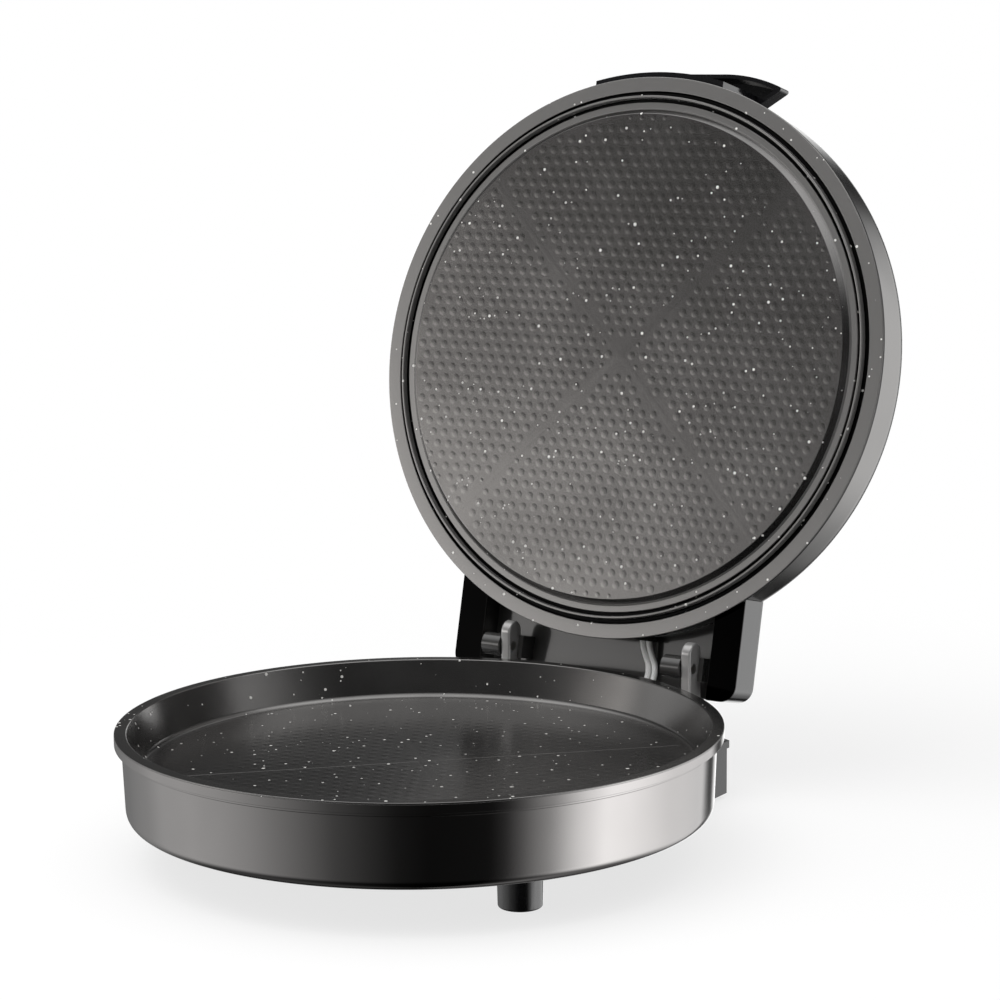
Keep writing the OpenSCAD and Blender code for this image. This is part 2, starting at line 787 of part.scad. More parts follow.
// Oval rubber bush with a flange on top, its bore clear of the leads
module lead_bush(through, flange) {
    difference() {
        union() {
            translate([0, 0, -through]) grommet_slot(through + over, grommet_wall - snug);
            grommet_slot(flange, grommet_wall + 1.6);
        }
        translate([0, 0, -through - over]) grommet_slot(through + flange + 2 * over, 0.9);
    }
}

// Bush where the leads enter the top of the stand
module stand_grommet() {
    color("#111111")
    in_base() translate([grommet_x, grommet_y, stand_top]) lead_bush(3, 1.6);
}

// Round bush where the leads pass up through the bottom cover
module cover_grommet() {
    hole_r = lead_space / 2 + lead_d / 2 + grommet_wall;
    color("#111111")
    in_base() translate([grommet_x, cover_hole_y, 0])
        difference() {
            union() {
                translate([0, 0, foot_h + seat])
                    cylinder(r = hole_r - snug, h = cover_top - foot_h - seat + over);
                translate([0, 0, cover_top]) cylinder(r = hole_r + 1.5, h = 1.4);
            }
            translate([0, 0, foot_h - over]) cylinder(r = hole_r - grommet_wall + 0.8, h = 20);
        }
}

// Cord gland in the stand's back wall
module cord_gland() {
    color("#111111")
    in_base() rotate([0, 0, gland_turn]) translate([0, stand_r - stand_wall - 1, gland_z]) rotate([-90, 0, 0])
        difference() {
            union() {
                cylinder(r = gland_r + gland_wall - snug, h = stand_wall + 1.6);
                translate([0, 0, stand_wall + 1]) cylinder(r = gland_r + gland_wall + 2, h = 1.8);
            }
            translate([0, 0, -over]) cylinder(r = gland_r, h = stand_wall + 8);
        }
}

// ---- Electrical pieces in the base ----

// Ceramic block with two through holes and two screw wells
module ceramic_block() {
    difference() {
        translate([-block_w / 2, 0, 0]) cube([block_w, block_d, block_h]);
        for (side = [-1, 1]) translate([side * lead_space / 2, -over, block_h / 2]) rotate([-90, 0, 0])
            cylinder(r = lead_d / 2 - 0.5, h = block_d + 2 * over);
        for (side = [-1, 1]) translate([side * 7.5, block_d / 2, block_h / 2]) cylinder(r = 2.2, h = block_h);
    }
}

module terminal_block() {
    color("ivory")
    in_base() translate([block_x, block_y, cover_top]) ceramic_block();
}

// Snap-disc thermostat, drawn with its sensing face up at zero
module thermostat() {
    translate([0, 0, -1.6]) cylinder(r = 8, h = 1.6);
    translate([0, 0, -8]) cylinder(r = 7, h = 7);
    for (side = [-1, 1]) translate([side * 4, 0, -11]) translate([-0.4, -3, 0]) cube([0.8, 6, 4]);
}

module lower_thermostat() {
    color("#e8e2d0")
    in_base() translate([0, 45, pan_under_z - seat]) thermostat();
}

// Thermal fuse in its sleeve, clipped to the underside of the lower plate
module thermal_fuse() {
    color("#d8d2c0")
    in_base() translate([fuse_x, fuse_y, pan_under_z - seat - fuse_r]) rotate([0, 90, 0]) {
        cylinder(r = fuse_r, h = fuse_l, center = true);
        cylinder(r = 0.6, h = fuse_l + 2 * fuse_wire_l, center = true);
    }
}

// Sleeved wires from the terminal block to the lower heating tube
module base_wires() {
    right = pin_at(-1);
    left = pin_at(1);
    pin_z = heater_z + heater_d / 2 - 0.4 - heater_end_l - heater_pin_l - seat - wire_r;
    low = cover_top + wire_r + 0.4;
    block_z = cover_top + block_h / 2;
    front = block_y - 0.3;
    color("white")
    in_base() {
        wire(smooth([[block_x - lead_space / 2, front, block_z], [block_x - 4, front - 5, block_z - 1.5],
            [right[0] + 4, right[1] + 3, low + 0.3], [right[0], right[1], pin_z]]), wire_r);
        wire(smooth([[block_x + lead_space / 2, front, block_z], [block_x + 1, front - 8, block_z - 2],
            [block_x - 6, front - 22, low + 0.4], [0, left[1] - 14, low], [left[0] + 3, left[1] - 8, low],
            [left[0], left[1], pin_z]]), wire_r);
    }
}

// ---- Leads across the hinge ----

// Two sleeved leads from the base's terminal block to the lid's
module heater_leads() {
    color("white")
    in_base() for (side = [-1, 1])
        wire([for (p = lead_route) [p[0] + side * lead_space / 2, hinge_y + p[1], hinge_z + p[2]]],
            lead_d / 2);
}

// ---- Lid ----

// Half section of the lid's outer form, moved in by t, its open edge at height low
module dome_outline(t, low) {
    steep = atan2(shoulder_in_r, crown_r - crown_rise);
    square_r = lid_r - t;
    intersection() {
        translate([0, low]) square([lid_r + 50, lid_h + 50]);
        union() {
            translate([0, low]) square([square_r, lid_side_h - low]);
            translate([shoulder_in_r, lid_side_h]) circle(r = lid_shoulder_r - t);
            intersection() {
                translate([0, lid_h - crown_r]) circle(r = crown_r - t, $fn = 720);
                polygon([[0, lid_side_h - over], [shoulder_in_r, lid_side_h - over],
                        [shoulder_in_r, lid_side_h],
                    [crown_r * 1.01 * sin(steep), lid_h - crown_r + crown_r * 1.01 * cos(steep)],
                    [0, lid_h + over]]);
            }
        }
    }
}

// The lid's outer form as a solid, grown by a clearance, for fitting pieces against it
module dome_solid(clearance) {
    rotate_extrude() dome_outline(-clearance, -2 * lid_drop);
}

function crown_at(r) = lid_h - crown_r + sqrt(pow(crown_r, 2) - pow(r, 2));

module lens_places() {
    for (side = [-1, 1]) translate([side * lens_gap / 2, -lens_reach, 0]) children();
}

// Points on the lid's shoulder under the handle, with +Z out of the shell
module handle_screw_places() {
    for (side = [-1, 1]) rotate([0, 0, -90 + side * handle_screw_turn])
        translate([shoulder_in_r, 0, lid_side_h]) rotate([0, 31.3, 0])
            translate([0, 0, lid_shoulder_r]) children();
}

// Points on the lid's side wall behind the bracket's legs, with +Z into the lid
module bracket_screw_places() {
    both_sides() rotate([0, 0, bracket_screw_turn]) translate([lid_r, 0, bracket_screw_z])
        rotate([0, -90, 0]) children();
}

// Pressed steel dome with a lip turned in round its open edge
module lid_shell() {
    low = plate_t + seat;
    color("#8c8c8e")
    in_lid()
        difference() {
            rotate_extrude()
                difference() {
                    union() {
                        dome_outline(0, plate_t + lid_seam);
                        translate([lid_r - lid_lip_w - lid_wall, low]) square([lid_lip_w, lid_wall + 0.5]);
                    }
                    difference() {
                        intersection() {
                            dome_outline(lid_wall, 0);
                            translate([0, 0]) square([lid_r, lid_h]);
                        }
                        translate([lid_r - lid_lip_w - lid_wall, 0])
                            square([lid_lip_w + over, low + lid_wall + 0.5]);
                    }
                    square([lid_r - lid_lip_w - lid_wall, low + lid_wall + over]);
                }
            lens_places() translate([0, 0, lid_h / 2]) cylinder(r = lens_d / 2 + snug, h = lid_h);
            handle_screw_places() translate([0, 0, -5]) cylinder(r = screw_r + snug, h = 10);
            bracket_screw_places() translate([0, 0, -5]) cylinder(r = screw_r + snug, h = 10);
            translate([lid_hole_x, sqrt(pow(lid_r, 2) - pow(lid_hole_x, 2)) - 8, lid_hole_z])
                rotate([-90, 0, 0]) grommet_slot(20, grommet_wall);
        }
}

// Cast plate with a flat flange, a thin lip between two channels and a raised cooking face
module upper_plate() {
    edge = 0.5;
    color("#4c4a48")
    in_lid() {
        rotate_extrude()
            polygon([[0, -plateau_h], [plateau_r, -plateau_h], [ring_in_r, -ring_rise], [ring_out_r, 0],
                [ring_out_r + 0.7, channel_d], [lip_in_r - 0.5, channel_d], [lip_in_r, -lip_h],
                [lip_out_r, -lip_h], [lip_out_r + 0.6, channel_d], [flange_in_r - 0.9, channel_d],
                [flange_in_r, 0], [flange_r - edge, 0], [flange_r, edge], [flange_r, plate_t - edge],
                [flange_r - edge, plate_t], [channel_back_r, plate_t], [channel_back_r - 1, channel_back],
                [ring_in_r + 1, channel_back], [plateau_r - 1, plateau_back], [0, plateau_back]]);
        translate([0, 0, -plateau_h - band_h]) cross_bands(plateau_r - 1, band_h);
    }
}

// Spring clips that hold the upper plate's flange to the shell's lip
module plate_clips() {
    lip_top = plate_t + seat + lid_wall + 0.5;
    reach = lid_r - lid_lip_w - lid_wall - 4;
    arm = lid_lip_w + 2;
    color("silver")
    in_lid() around([-60, -20, 20, 160, 200, 240], reach)
        translate([0, -6, 0]) {
            translate([0, 0, channel_back]) cube([3.2, 12, lip_top - channel_back + 1]);
            translate([0, 0, lip_top]) cube([arm, 12, 1]);
        }
}

module upper_heater() {
    color("#4a4542")
    in_lid() translate([0, 0, upper_heater_z]) mirror([0, 0, 1]) heating_ring();
}

module upper_heater_clips() {
    color("silver")
    in_lid() translate([0, 0, upper_heater_z]) mirror([0, 0, 1])
        around(clip_angles, heater_r) heater_strap();
}

// Bright sheet behind the upper tube
module upper_reflector() {
    color("gainsboro")
    in_lid()
        difference() {
            translate([0, 0, upper_reflector_z]) cylinder(r = reflector_r, h = reflector_t);
            translate([0, 0, upper_reflector_z - over]) {
                for (side = [-1, 1]) translate(pin_at(side)) cylinder(r = heater_d / 2 + 2, h = 3 * over);
                translate([0, 45, 0]) cylinder(r = 9, h = 3 * over);
                around(stud_angles, stud_reach) cylinder(r = stud_r - 1.2, h = 3 * over);
            }
        }
}

// Studs that carry the upper reflector on the plate
module reflector_studs() {
    color("silver")
    in_lid() around(stud_angles, stud_reach) {
        translate([0, 0, plateau_back]) cylinder(r = stud_r, h = upper_reflector_z - plateau_back);
        translate([0, 0, plateau_back])
            cylinder(r = stud_r - 1.2 - snug, h = upper_reflector_z + 2 - plateau_back);
        translate([0, 0, upper_reflector_z + reflector_t]) cylinder(r = stud_r, h = 1.4);
    }
}

module upper_thermostat() {
    color("#e8e2d0")
    in_lid() translate([0, 45, plateau_back + seat]) mirror([0, 0, 1]) thermostat();
}

// Ceramic block where the leads end in the lid, on a bent steel foot that stands on the reflector
module lid_terminal() {
    foot_top = lid_block_z;
    color("ivory")
    in_lid() translate([lid_hole_x, lid_block_y - block_d, 0]) {
        translate([0, 0, foot_top]) ceramic_block();
        translate([-block_w / 2, 2, upper_reflector_z + reflector_t])
            cube([block_w, block_d - 8, foot_top - upper_reflector_z - reflector_t]);
    }
}

module lid_wires() {
    right = pin_at(-1);
    left = pin_at(1);
    pin_z = upper_heater_z - heater_d / 2 + 0.4 + heater_end_l + heater_pin_l + seat + wire_r;
    block_mid = lid_block_z + block_h / 2;
    front = lid_block_y - block_d - 0.3;
    color("white")
    in_lid() {
        wire(smooth([[lid_hole_x - lead_space / 2, front, block_mid],
                [lid_hole_x - 4, front - 6, block_mid + 1],
            [right[0] + 2.4, right[1] + 4, pin_z + 2], [right[0], right[1], pin_z]]), wire_r);
        wire(smooth([[lid_hole_x + lead_space / 2, front, block_mid],
                [lid_hole_x + 2, front - 9, block_mid + 2],
            [lid_hole_x - 6, front - 24, block_mid + 3], [0, left[1] - 12, block_mid + 2],
            [left[0] + 3, left[1] - 5, pin_z + 2], [left[0], left[1], pin_z]]), wire_r);
    }
}

// Bush where the leads leave the lid's side wall
module lid_grommet() {
    wall_y = sqrt(pow(lid_r, 2) - pow(lid_hole_x, 2));
    color("#111111")
    in_lid() translate([lid_hole_x, wall_y + 1.2, lid_hole_z]) rotate([-90, 0, 0]) lead_bush(5, 1.4);
}

// Plan of the grip, drawn in by w: a straight front between two arcs, with ends that slant back to a neck
module handle_plan(w) {
    half = handle_w / 2 - w;
    tip_y = -handle_r + handle_tip;
    slant = (handle_w / 2 - handle_neck) * 0.69;
    intersection() {
        union() {
            translate([-handle_flat, w - handle_r]) square([2 * handle_flat, handle_back]);
            for (side = [-1, 1]) translate([side * handle_flat, handle_arc_r - handle_r])
                circle(r = handle_arc_r + 0.05 - w);
        }
        polygon([[-half, -2 * handle_r], [half, -2 * handle_r], [half, tip_y - w * 0.55],
            [handle_neck - w, tip_y + slant - w * 0.55], [handle_neck - w, handle_back - handle_r - w],
            [w - handle_neck, handle_back - handle_r - w], [w - handle_neck, tip_y + slant - w * 0.55],
            [-half, tip_y - w * 0.55]]);
    }
}

// The apron that follows the lid's side under the grip, drawn in by w
module apron(w, top) {
    intersection() {
        translate([0, 0, apron_z + w]) cylinder(r = apron_r - w, h = top - apron_z - w);
        rotate([90, 0, 0]) linear_extrude(2 * apron_r)
            polygon([[w - apron_low_w, apron_z], [apron_low_w - w, apron_z], [apron_high_w - w, handle_top],
                [w - apron_high_w, handle_top]]);
        translate([-handle_w, -2 * handle_r, 0]) cube([2 * handle_w, handle_r + handle_back - 1.8 - w, handle_top]);
    }
}

// Moulded handle, hollow towards the lid and open on its underside in front of the apron
module handle() {
    color("#141415")
    in_lid()
        difference() {
            union() {
                translate([0, 0, handle_z]) linear_extrude(handle_h) handle_plan(0);
                apron(0, handle_z + over);
            }
            // Room between the apron and the grip's front
            difference() {
                translate([0, 0, handle_z - over]) linear_extrude(handle_h - handle_wall + over)
                    handle_plan(handle_wall);
                cylinder(r = apron_r + 0.4, h = handle_top);
            }
            // Room between the handle and the lid
            difference() {
                apron(handle_wall, handle_top - handle_wall);
                handle_screw_places() translate([0, 0, -1]) cylinder(r = 3.8, h = 12);
            }
            dome_solid(seat);
            handle_screw_places() translate([0, 0, -2]) cylinder(r = screw_r + snug, h = handle_screw_l + 2);
        }
}

// Screws from inside the dome into the handle's bosses
module handle_screws() {
    head_z = -lid_wall - 0.3;
    color("silver")
    in_lid() handle_screw_places() translate([0, 0, head_z]) mirror([0, 0, 1])
        screw(handle_screw_l - over - head_z - 0.4);
}

// Clear domed lenses in the top of the lid
module indicator_lenses() {
    color("#c03028", 0.8)
    in_lid() lens_places() {
        base = crown_at(lens_reach) - 4;
        translate([0, 0, base]) cylinder(r = lens_d / 2, h = 4.6);
        translate([0, 0, base]) cylinder(r = lens_d / 2 + 1.4, h = 4 - lid_wall - 0.9);
        translate([0, 0, base + 4.6]) intersection() {
            translate([0, 0, -lens_d / 2]) sphere(r = lens_d * 0.7071);
            cylinder(r = lens_d / 2, h = lens_d);
        }
    }
}

// Neon lamps pushed up behind the lenses
module indicator_lamps() {
    color("orange")
    in_lid() lens_places() translate([0, 0, crown_at(lens_reach) - 4 - 13]) {
        cylinder(r = 2.6, h = 13 - 0.2);
        for (side = [-1, 1]) translate([side * 1.2, 0, -6]) cylinder(r = 0.35, h = 6);
    }
}

// ---- Hinge, lid side ----

// Plan of the bracket moved in by w, from its tail to under the shell
module bracket_plan(w) {
    half = bracket_w / 2;
    corner_y = tail_y - bracket_corner_r;
    translate([-half + w, tail_y - bracket_depth]) square([2 * (half - w), bracket_depth - bracket_corner_r]);
    translate([-half + bracket_corner_r, corner_y - over])
        square([2 * (half - bracket_corner_r), bracket_corner_r + over - w]);
    for (side = [-1, 1]) translate([side * (half - bracket_corner_r), corner_y])
        circle(r = bracket_corner_r - w);
}

module cover_screw_places() {
    both_sides() for (y = [tail_y - 9, lid_reach - 24]) translate([leg_in_x + leg_w / 2, y, 0]) children();
}

// A barrel with its web to the bracket's panel, and the guard that keeps the lid on its pins
module barrel() {
    translate([-barrel_end - barrel_l, lid_reach, lid_drop]) rotate([0, 90, 0])
        cylinder(r = barrel_r, h = barrel_l);
    translate([-barrel_end - barrel_l, lid_reach - barrel_r, lid_drop])
        cube([barrel_l, 2 * barrel_r, panel_front + over]);
    translate([guard_x, lid_reach - barrel_r, lid_drop + guard_front])
        cube([guard_t, 2 * barrel_r, panel_front - guard_front + over]);
}

// Moulded bracket: two legs, a set-back panel between them and the four hinge barrels
module hinge_bracket() {
    pocket = leg_w - 2 * bracket_wall;
    color("#0f0f10")
    in_lid()
        difference() {
            union() {
                difference() {
                    translate([0, 0, bracket_low]) linear_extrude(tray_top - bracket_low) bracket_plan(0);
                    // Recess between the legs
                    translate([-leg_in_x, tail_y - bracket_depth - over, bracket_low - over])
                        cube([2 * leg_in_x, bracket_depth + 2 * over, panel_low - bracket_low + over]);
                    // Pocket behind the panel
                    intersection() {
                        translate([0, 0, panel_low + bracket_wall]) linear_extrude(bracket_back)
                            bracket_plan(bracket_wall);
                        translate([-leg_in_x + bracket_wall, 0, 0])
                            cube([2 * (leg_in_x - bracket_wall), 2 * tail_y, 2 * bracket_top]);
                    }
                    // Pocket in each leg, round its screw bosses
                    difference() {
                        intersection() {
                            translate([0, 0, bracket_low + bracket_wall]) linear_extrude(bracket_back)
                                bracket_plan(bracket_wall);
                            both_sides() translate([leg_in_x + bracket_wall, 0, 0])
                                cube([pocket, 2 * tail_y, 2 * bracket_top]);
                        }
                        cover_screw_places() cylinder(r = 3.6, h = 2 * bracket_top);
                        // Wall that closes each leg against the shell
                        rotate_extrude() square([lid_r + seat + bracket_wall, 2 * bracket_top]);
                    }
                }
                at_ears() barrel();
            }
            dome_solid(seat);
            at_ears() translate([-barrel_end - barrel_l - over, lid_reach, lid_drop]) rotate([0, 90, 0])
                cylinder(r = pin_r + pin_clear, h = barrel_l + 2 * over);
            bracket_screw_places() translate([0, 0, -6]) cylinder(r = screw_r + snug, h = 11);
            cover_screw_places() translate([0, 0, tray_top - 9]) cylinder(r = screw_r + snug, h = 20);
            // Seat of the bush that leads the wires out
            translate([lid_hole_x, lid_reach, lid_hole_z]) rotate([90, 0, 0]) translate([0, 0, 8])
                grommet_slot(12, grommet_wall + 2.2);
        }
}

// Flat cover that closes the bracket from behind
module bracket_cover() {
    color("#0f0f10")
    in_lid()
        difference() {
            translate([0, 0, tray_top]) linear_extrude(bracket_wall) bracket_plan(0);
            dome_solid(seat);
            cover_screw_places() cylinder(r = screw_r + snug, h = 2 * bracket_top);
        }
}

// Screws from inside the lid's wall into the bracket's legs
module bracket_screws() {
    color("silver")
    in_lid() bracket_screw_places() translate([0, 0, lid_wall + 0.1]) screw(lid_wall + 5);
}

module bracket_cover_screws() {
    color("silver")
    in_lid() cover_screw_places() translate([0, 0, bracket_top]) screw(bracket_wall + 6);
}

base_shell();
bottom_cover();
lower_plate();
lower_heater();
heater_clips();
lower_reflector();
support_posts();
cover_screws();
front_feet();
front_foot_pads();
foot_screws();
rear_stand();
rear_pads();
stand_screws();
hinge_ears();
ear_screws();
hinge_pins();
terminal_block();
lower_thermostat();
thermal_fuse();
stand_grommet();
cover_grommet();
cord_gland();
heater_leads();
base_wires();
lid_shell();
upper_plate();
plate_clips();
upper_heater();
upper_heater_clips();
upper_reflector();
reflector_studs();
upper_thermostat();
lid_terminal();
lid_wires();
lid_grommet();
handle();
handle_screws();
indicator_lenses();
indicator_lamps();
hinge_bracket();
bracket_cover();
bracket_screws();
bracket_cover_screws();
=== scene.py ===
"""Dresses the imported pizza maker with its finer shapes, its finishes, a studio and a camera."""

import json
import logging
import math
from collections.abc import Callable, Iterable
from dataclasses import asdict, dataclass
from enum import Enum

import bmesh
import bpy
from mathutils import Matrix, Vector


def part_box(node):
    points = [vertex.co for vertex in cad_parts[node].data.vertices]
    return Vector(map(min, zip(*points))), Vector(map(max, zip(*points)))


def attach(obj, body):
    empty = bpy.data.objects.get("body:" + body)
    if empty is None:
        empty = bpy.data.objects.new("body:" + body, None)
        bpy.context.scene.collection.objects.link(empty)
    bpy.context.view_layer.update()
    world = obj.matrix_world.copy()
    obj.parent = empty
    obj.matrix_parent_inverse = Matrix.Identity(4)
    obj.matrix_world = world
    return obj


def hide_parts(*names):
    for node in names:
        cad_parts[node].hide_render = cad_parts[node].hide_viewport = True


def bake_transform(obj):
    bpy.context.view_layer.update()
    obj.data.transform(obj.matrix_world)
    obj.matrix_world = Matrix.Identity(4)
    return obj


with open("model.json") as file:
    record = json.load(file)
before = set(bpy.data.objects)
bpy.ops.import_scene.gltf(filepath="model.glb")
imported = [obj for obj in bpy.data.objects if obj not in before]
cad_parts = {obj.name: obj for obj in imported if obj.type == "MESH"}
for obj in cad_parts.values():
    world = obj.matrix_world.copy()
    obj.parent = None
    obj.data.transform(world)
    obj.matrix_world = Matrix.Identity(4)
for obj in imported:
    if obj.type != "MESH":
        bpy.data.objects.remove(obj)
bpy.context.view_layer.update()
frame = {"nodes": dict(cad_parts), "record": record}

LOG = logging.getLogger("pizza_maker")
MM = 0.001
Point = tuple[float, float, float]
Colour = tuple[float, float, float]
Socket = bpy.types.NodeSocket
Piece = bpy.types.Object
Mesh = bmesh.types.BMesh
Tree = bpy.types.NodeTree


class Body(Enum):
    """The two bodies that the hinge joins."""

    BASE = "base"
    LID = "lid"


class Slot(Enum):
    """Material slots of the record."""

    SHELL = "shell_metal"
    LID = "lid_metal"
    NONSTICK = "nonstick"
    HEATER = "heater_metal"
    ZINC = "zinc_steel"
    SHEET = "bright_sheet"
    PLASTIC = "black_plastic"
    GLOSS = "gloss_black"
    RUBBER = "black_rubber"
    CERAMIC = "white_ceramic"
    SLEEVE = "white_sleeve"
    LENS = "red_lens"
    LAMP = "lamp_glass"


@dataclass(frozen=True)
class Layout:
    """Places that the pieces are built about, in metres."""

    base_y: float
    hinge_y: float
    hinge_z: float
    open_angle: float = math.radians(103.46)
    lid_reach: float = 185 * MM
    lid_drop: float = 2.5 * MM

    @property
    def base(self) -> Matrix:
        """Frame of the base: its axis, with the counter at zero."""
        return Matrix.Translation((0, self.base_y, 0))

    @property
    def lid(self) -> Matrix:
        """Frame of the lid: its axis, with the flange's cooking side at zero."""
        hinge = Matrix.Translation((0, self.hinge_y, self.hinge_z))
        swing = Matrix.Rotation(-self.open_angle, 4, "X")
        return hinge @ swing @ Matrix.Translation((0, -self.lid_reach, -self.lid_drop))


@dataclass(frozen=True)
class LidPlace:
    """Turns Object coordinates into places on the closed lid, for patterns that follow it."""

    layout: Layout

    def along(self, kit: "Kit", axis: int) -> Socket:
        """Distance along one of the lid's axes, in metres.

        Args:
            kit: the material's nodes.
            axis: 0 to the right, 1 to the hinge, 2 out of the top of the lid.

        Returns:
            The distance's socket.
        """
        *row, offset = self.layout.lid.inverted()[axis]
        dot = kit.nodes.add("VectorMath", {0: kit.place, 1: row}, operation="DOT_PRODUCT")
        return kit.nodes.plus(dot.outputs["Value"], offset)

    def radius(self, kit: "Kit") -> Socket:
        """Distance from the lid's axis, in metres.

        Args:
            kit: the material's nodes.

        Returns:
            The distance's socket.
        """
        sides = [kit.nodes.math("ABSOLUTE", self.along(kit, axis)) for axis in (0, 1)]
        squares = [kit.nodes.math("POWER", side, 2.0) for side in sides]
        return kit.nodes.math("SQRT", kit.nodes.plus(*squares))


def read_layout() -> Layout:
    """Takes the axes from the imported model.

    Returns:
        The layout of the appliance with its lid open.
    """
    low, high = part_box("lower_plate")
    joint = next(j for j in frame["record"]["behaviour"]["joints"] if j["name"] == "lid_hinge")
    return Layout((low[1] + high[1]) / 2, joint["pos_m"][1], joint["pos_m"][2])


# ---- Shader helpers ----


class Nodes:
    """A short way to place and join the nodes of one tree."""

    def __init__(self, tree: Tree) -> None:
        """Keeps the node tree to fill."""
        self.tree = tree

    def add(self, kind: str, values: dict | None = None, **settings: object) -> bpy.types.Node:
        """Adds a node.

        Args:
            kind: the node's type name without its ShaderNode prefix.
            values: input name or number to a value or to an output socket that feeds it.
            settings: the node's own properties.

        Returns:
            The new node.
        """
        node = self.tree.nodes.new("ShaderNode" + kind)
        for name, value in settings.items():
            setattr(node, name, value)
        self.feed(node, values or {})
        return node

    def feed(self, node: bpy.types.Node, values: dict) -> None:
        """Sets a node's inputs, and links those whose value is a socket.

        Args:
            node: the node.
            values: input name or number to a value or to an output socket that feeds it.
        """
        for key, value in values.items():
            if isinstance(value, Socket):
                self.tree.links.new(value, node.inputs[key])
            else:
                node.inputs[key].default_value = value

    def math(self, kind: str, *values: object) -> Socket:
        """Adds a Math node for an operation on numbers or sockets, and returns its output."""
        return self.add("Math", dict(enumerate(values)), operation=kind).outputs[0]

    def times(self, *values: object) -> Socket:
        """Product of two numbers or sockets."""
        return self.math("MULTIPLY", *values)

    def plus(self, *values: object) -> Socket:
        """Sum of two numbers or sockets."""
        return self.math("ADD", *values)

    def ramp(self, value: object, low: float, high: float, start: float = 0.0, end: float = 1.0) -> Socket:
        """Maps a value from low..high to start..end, smoothly and clamped."""
        values = dict(enumerate((value, low, high, start, end)))
        return self.add("MapRange", values, interpolation_type="SMOOTHSTEP").outputs[0]

    def blend(self, share: object, first: object, second: object) -> Socket:
        """Mixes two colours, each a tuple or a socket, with a share of the second."""
        first, second = (c if isinstance(c, Socket) else (*c, 1) for c in (first, second))
        return self.add("Mix", {0: share, 6: first, 7: second}, data_type="RGBA").outputs[2]


class GroupNodes(Nodes):
    """The nodes of a shader group that several materials share."""

    def __init__(self, name: str, **inputs: float) -> None:
        """Opens the group, with a Vector as its first input.

        Args:
            name: the group's name.
            inputs: its other inputs, with their default values.
        """
        super().__init__(bpy.data.node_groups.new(name, "ShaderNodeTree"))
        sockets = self.tree.interface
        sockets.new_socket("Vector", in_out="INPUT", socket_type="NodeSocketVector")
        for key, value in inputs.items():
            sockets.new_socket(key, in_out="INPUT", socket_type="NodeSocketFloat").default_value = value
        self.entry = self.tree.nodes.new("NodeGroupInput").outputs

    def close(self, **outputs: Socket) -> Tree:
        """Gives the group its outputs.

        Args:
            outputs: output names, each with the number that it puts out.

        Returns:
            The group.
        """
        for key in outputs:
            self.tree.interface.new_socket(key, in_out="OUTPUT", socket_type="NodeSocketFloat")
        self.feed(self.tree.nodes.new("NodeGroupOutput"), outputs)
        return self.tree


# Flecks: power that makes small ones common, and tone of the faintest
FLECK_SPREAD, FAINTEST_FLECK = 2.0, 0.5
# Handling: where smudges start and are full, how scratches wander, their width, and where they show
SMUDGES = (0.48, 0.72)
SCRATCH_WANDER, SCRATCH_WIDTH = 9.0, 0.006
PATCH_SCALE, PATCHES = 21.0, (0.55, 0.7)


def make_flecks() -> Tree:
    """Pale flecks of a stone-effect coating: scattered points of uneven size.

    Returns:
        The group, which puts out a mask of the flecks and their tone.
    """
    nodes = GroupNodes("Flecks", Scale=120, Size=0.4, Share=0.5)
    where = {"Vector": nodes.entry["Vector"], "Scale": nodes.entry["Scale"]}
    cell = nodes.add("TexVoronoi", {**where, "Randomness": 1.0})
    pick = nodes.add("SeparateColor", {0: cell.outputs["Color"]})
    size = nodes.times(nodes.math("POWER", pick.outputs[0], FLECK_SPREAD), nodes.entry["Size"])
    mask = nodes.math("GREATER_THAN", size, cell.outputs["Distance"])
    chosen = nodes.math("LESS_THAN", pick.outputs[1], nodes.entry["Share"])
    tone = nodes.ramp(pick.outputs[2], 0, 1, FAINTEST_FLECK, 1)
    return nodes.close(Mask=nodes.times(mask, chosen), Tone=tone)


def make_grain() -> Tree:
    """Fine grain with slow unevenness, for moulded and sprayed surfaces.

    Returns:
        The group, which puts out the grain's height and the slow shade.
    """
    nodes = GroupNodes("Grain", Scale=900, Slow=14)
    place = {"Vector": nodes.entry["Vector"]}
    fine = {"Scale": nodes.entry["Scale"], "Detail": 4.0, "Roughness": 0.6}
    slow = {"Scale": nodes.entry["Slow"], "Detail": 3.0}
    height, shade = (nodes.add("TexNoise", place | noise).outputs[0] for noise in (fine, slow))
    return nodes.close(Height=height, Shade=shade)


def make_handling() -> Tree:
    """Faint smudges and hairline scratches of a wiped surface.

    Returns:
        The group, which puts out a mask of the smudges and one of the scratches.
    """
    nodes = GroupNodes("Handling", Scale=18, Lines=22)
    place = {"Vector": nodes.entry["Vector"]}
    cloud = {"Scale": nodes.entry["Scale"], "Detail": 3.0, "Distortion": 0.1}
    smudge = nodes.ramp(nodes.add("TexNoise", place | cloud).outputs[0], *SMUDGES)
    bent = nodes.add("TexNoise", {**place, "Scale": SCRATCH_WANDER, "Detail": 1.0})
    shifted = nodes.add("VectorMath", {0: nodes.entry["Vector"], 1: bent.outputs[1]}, operation="ADD")
    cells = {"Vector": shifted.outputs[0], "Scale": nodes.entry["Lines"]}
    line = nodes.add("TexVoronoi", cells, feature="DISTANCE_TO_EDGE")
    thin = nodes.math("LESS_THAN", line.outputs[0], SCRATCH_WIDTH)
    patch = nodes.ramp(nodes.add("TexNoise", {**place, "Scale": PATCH_SCALE}).outputs[0], *PATCHES)
    return nodes.close(Smudge=smudge, Scratch=nodes.times(thin, patch))


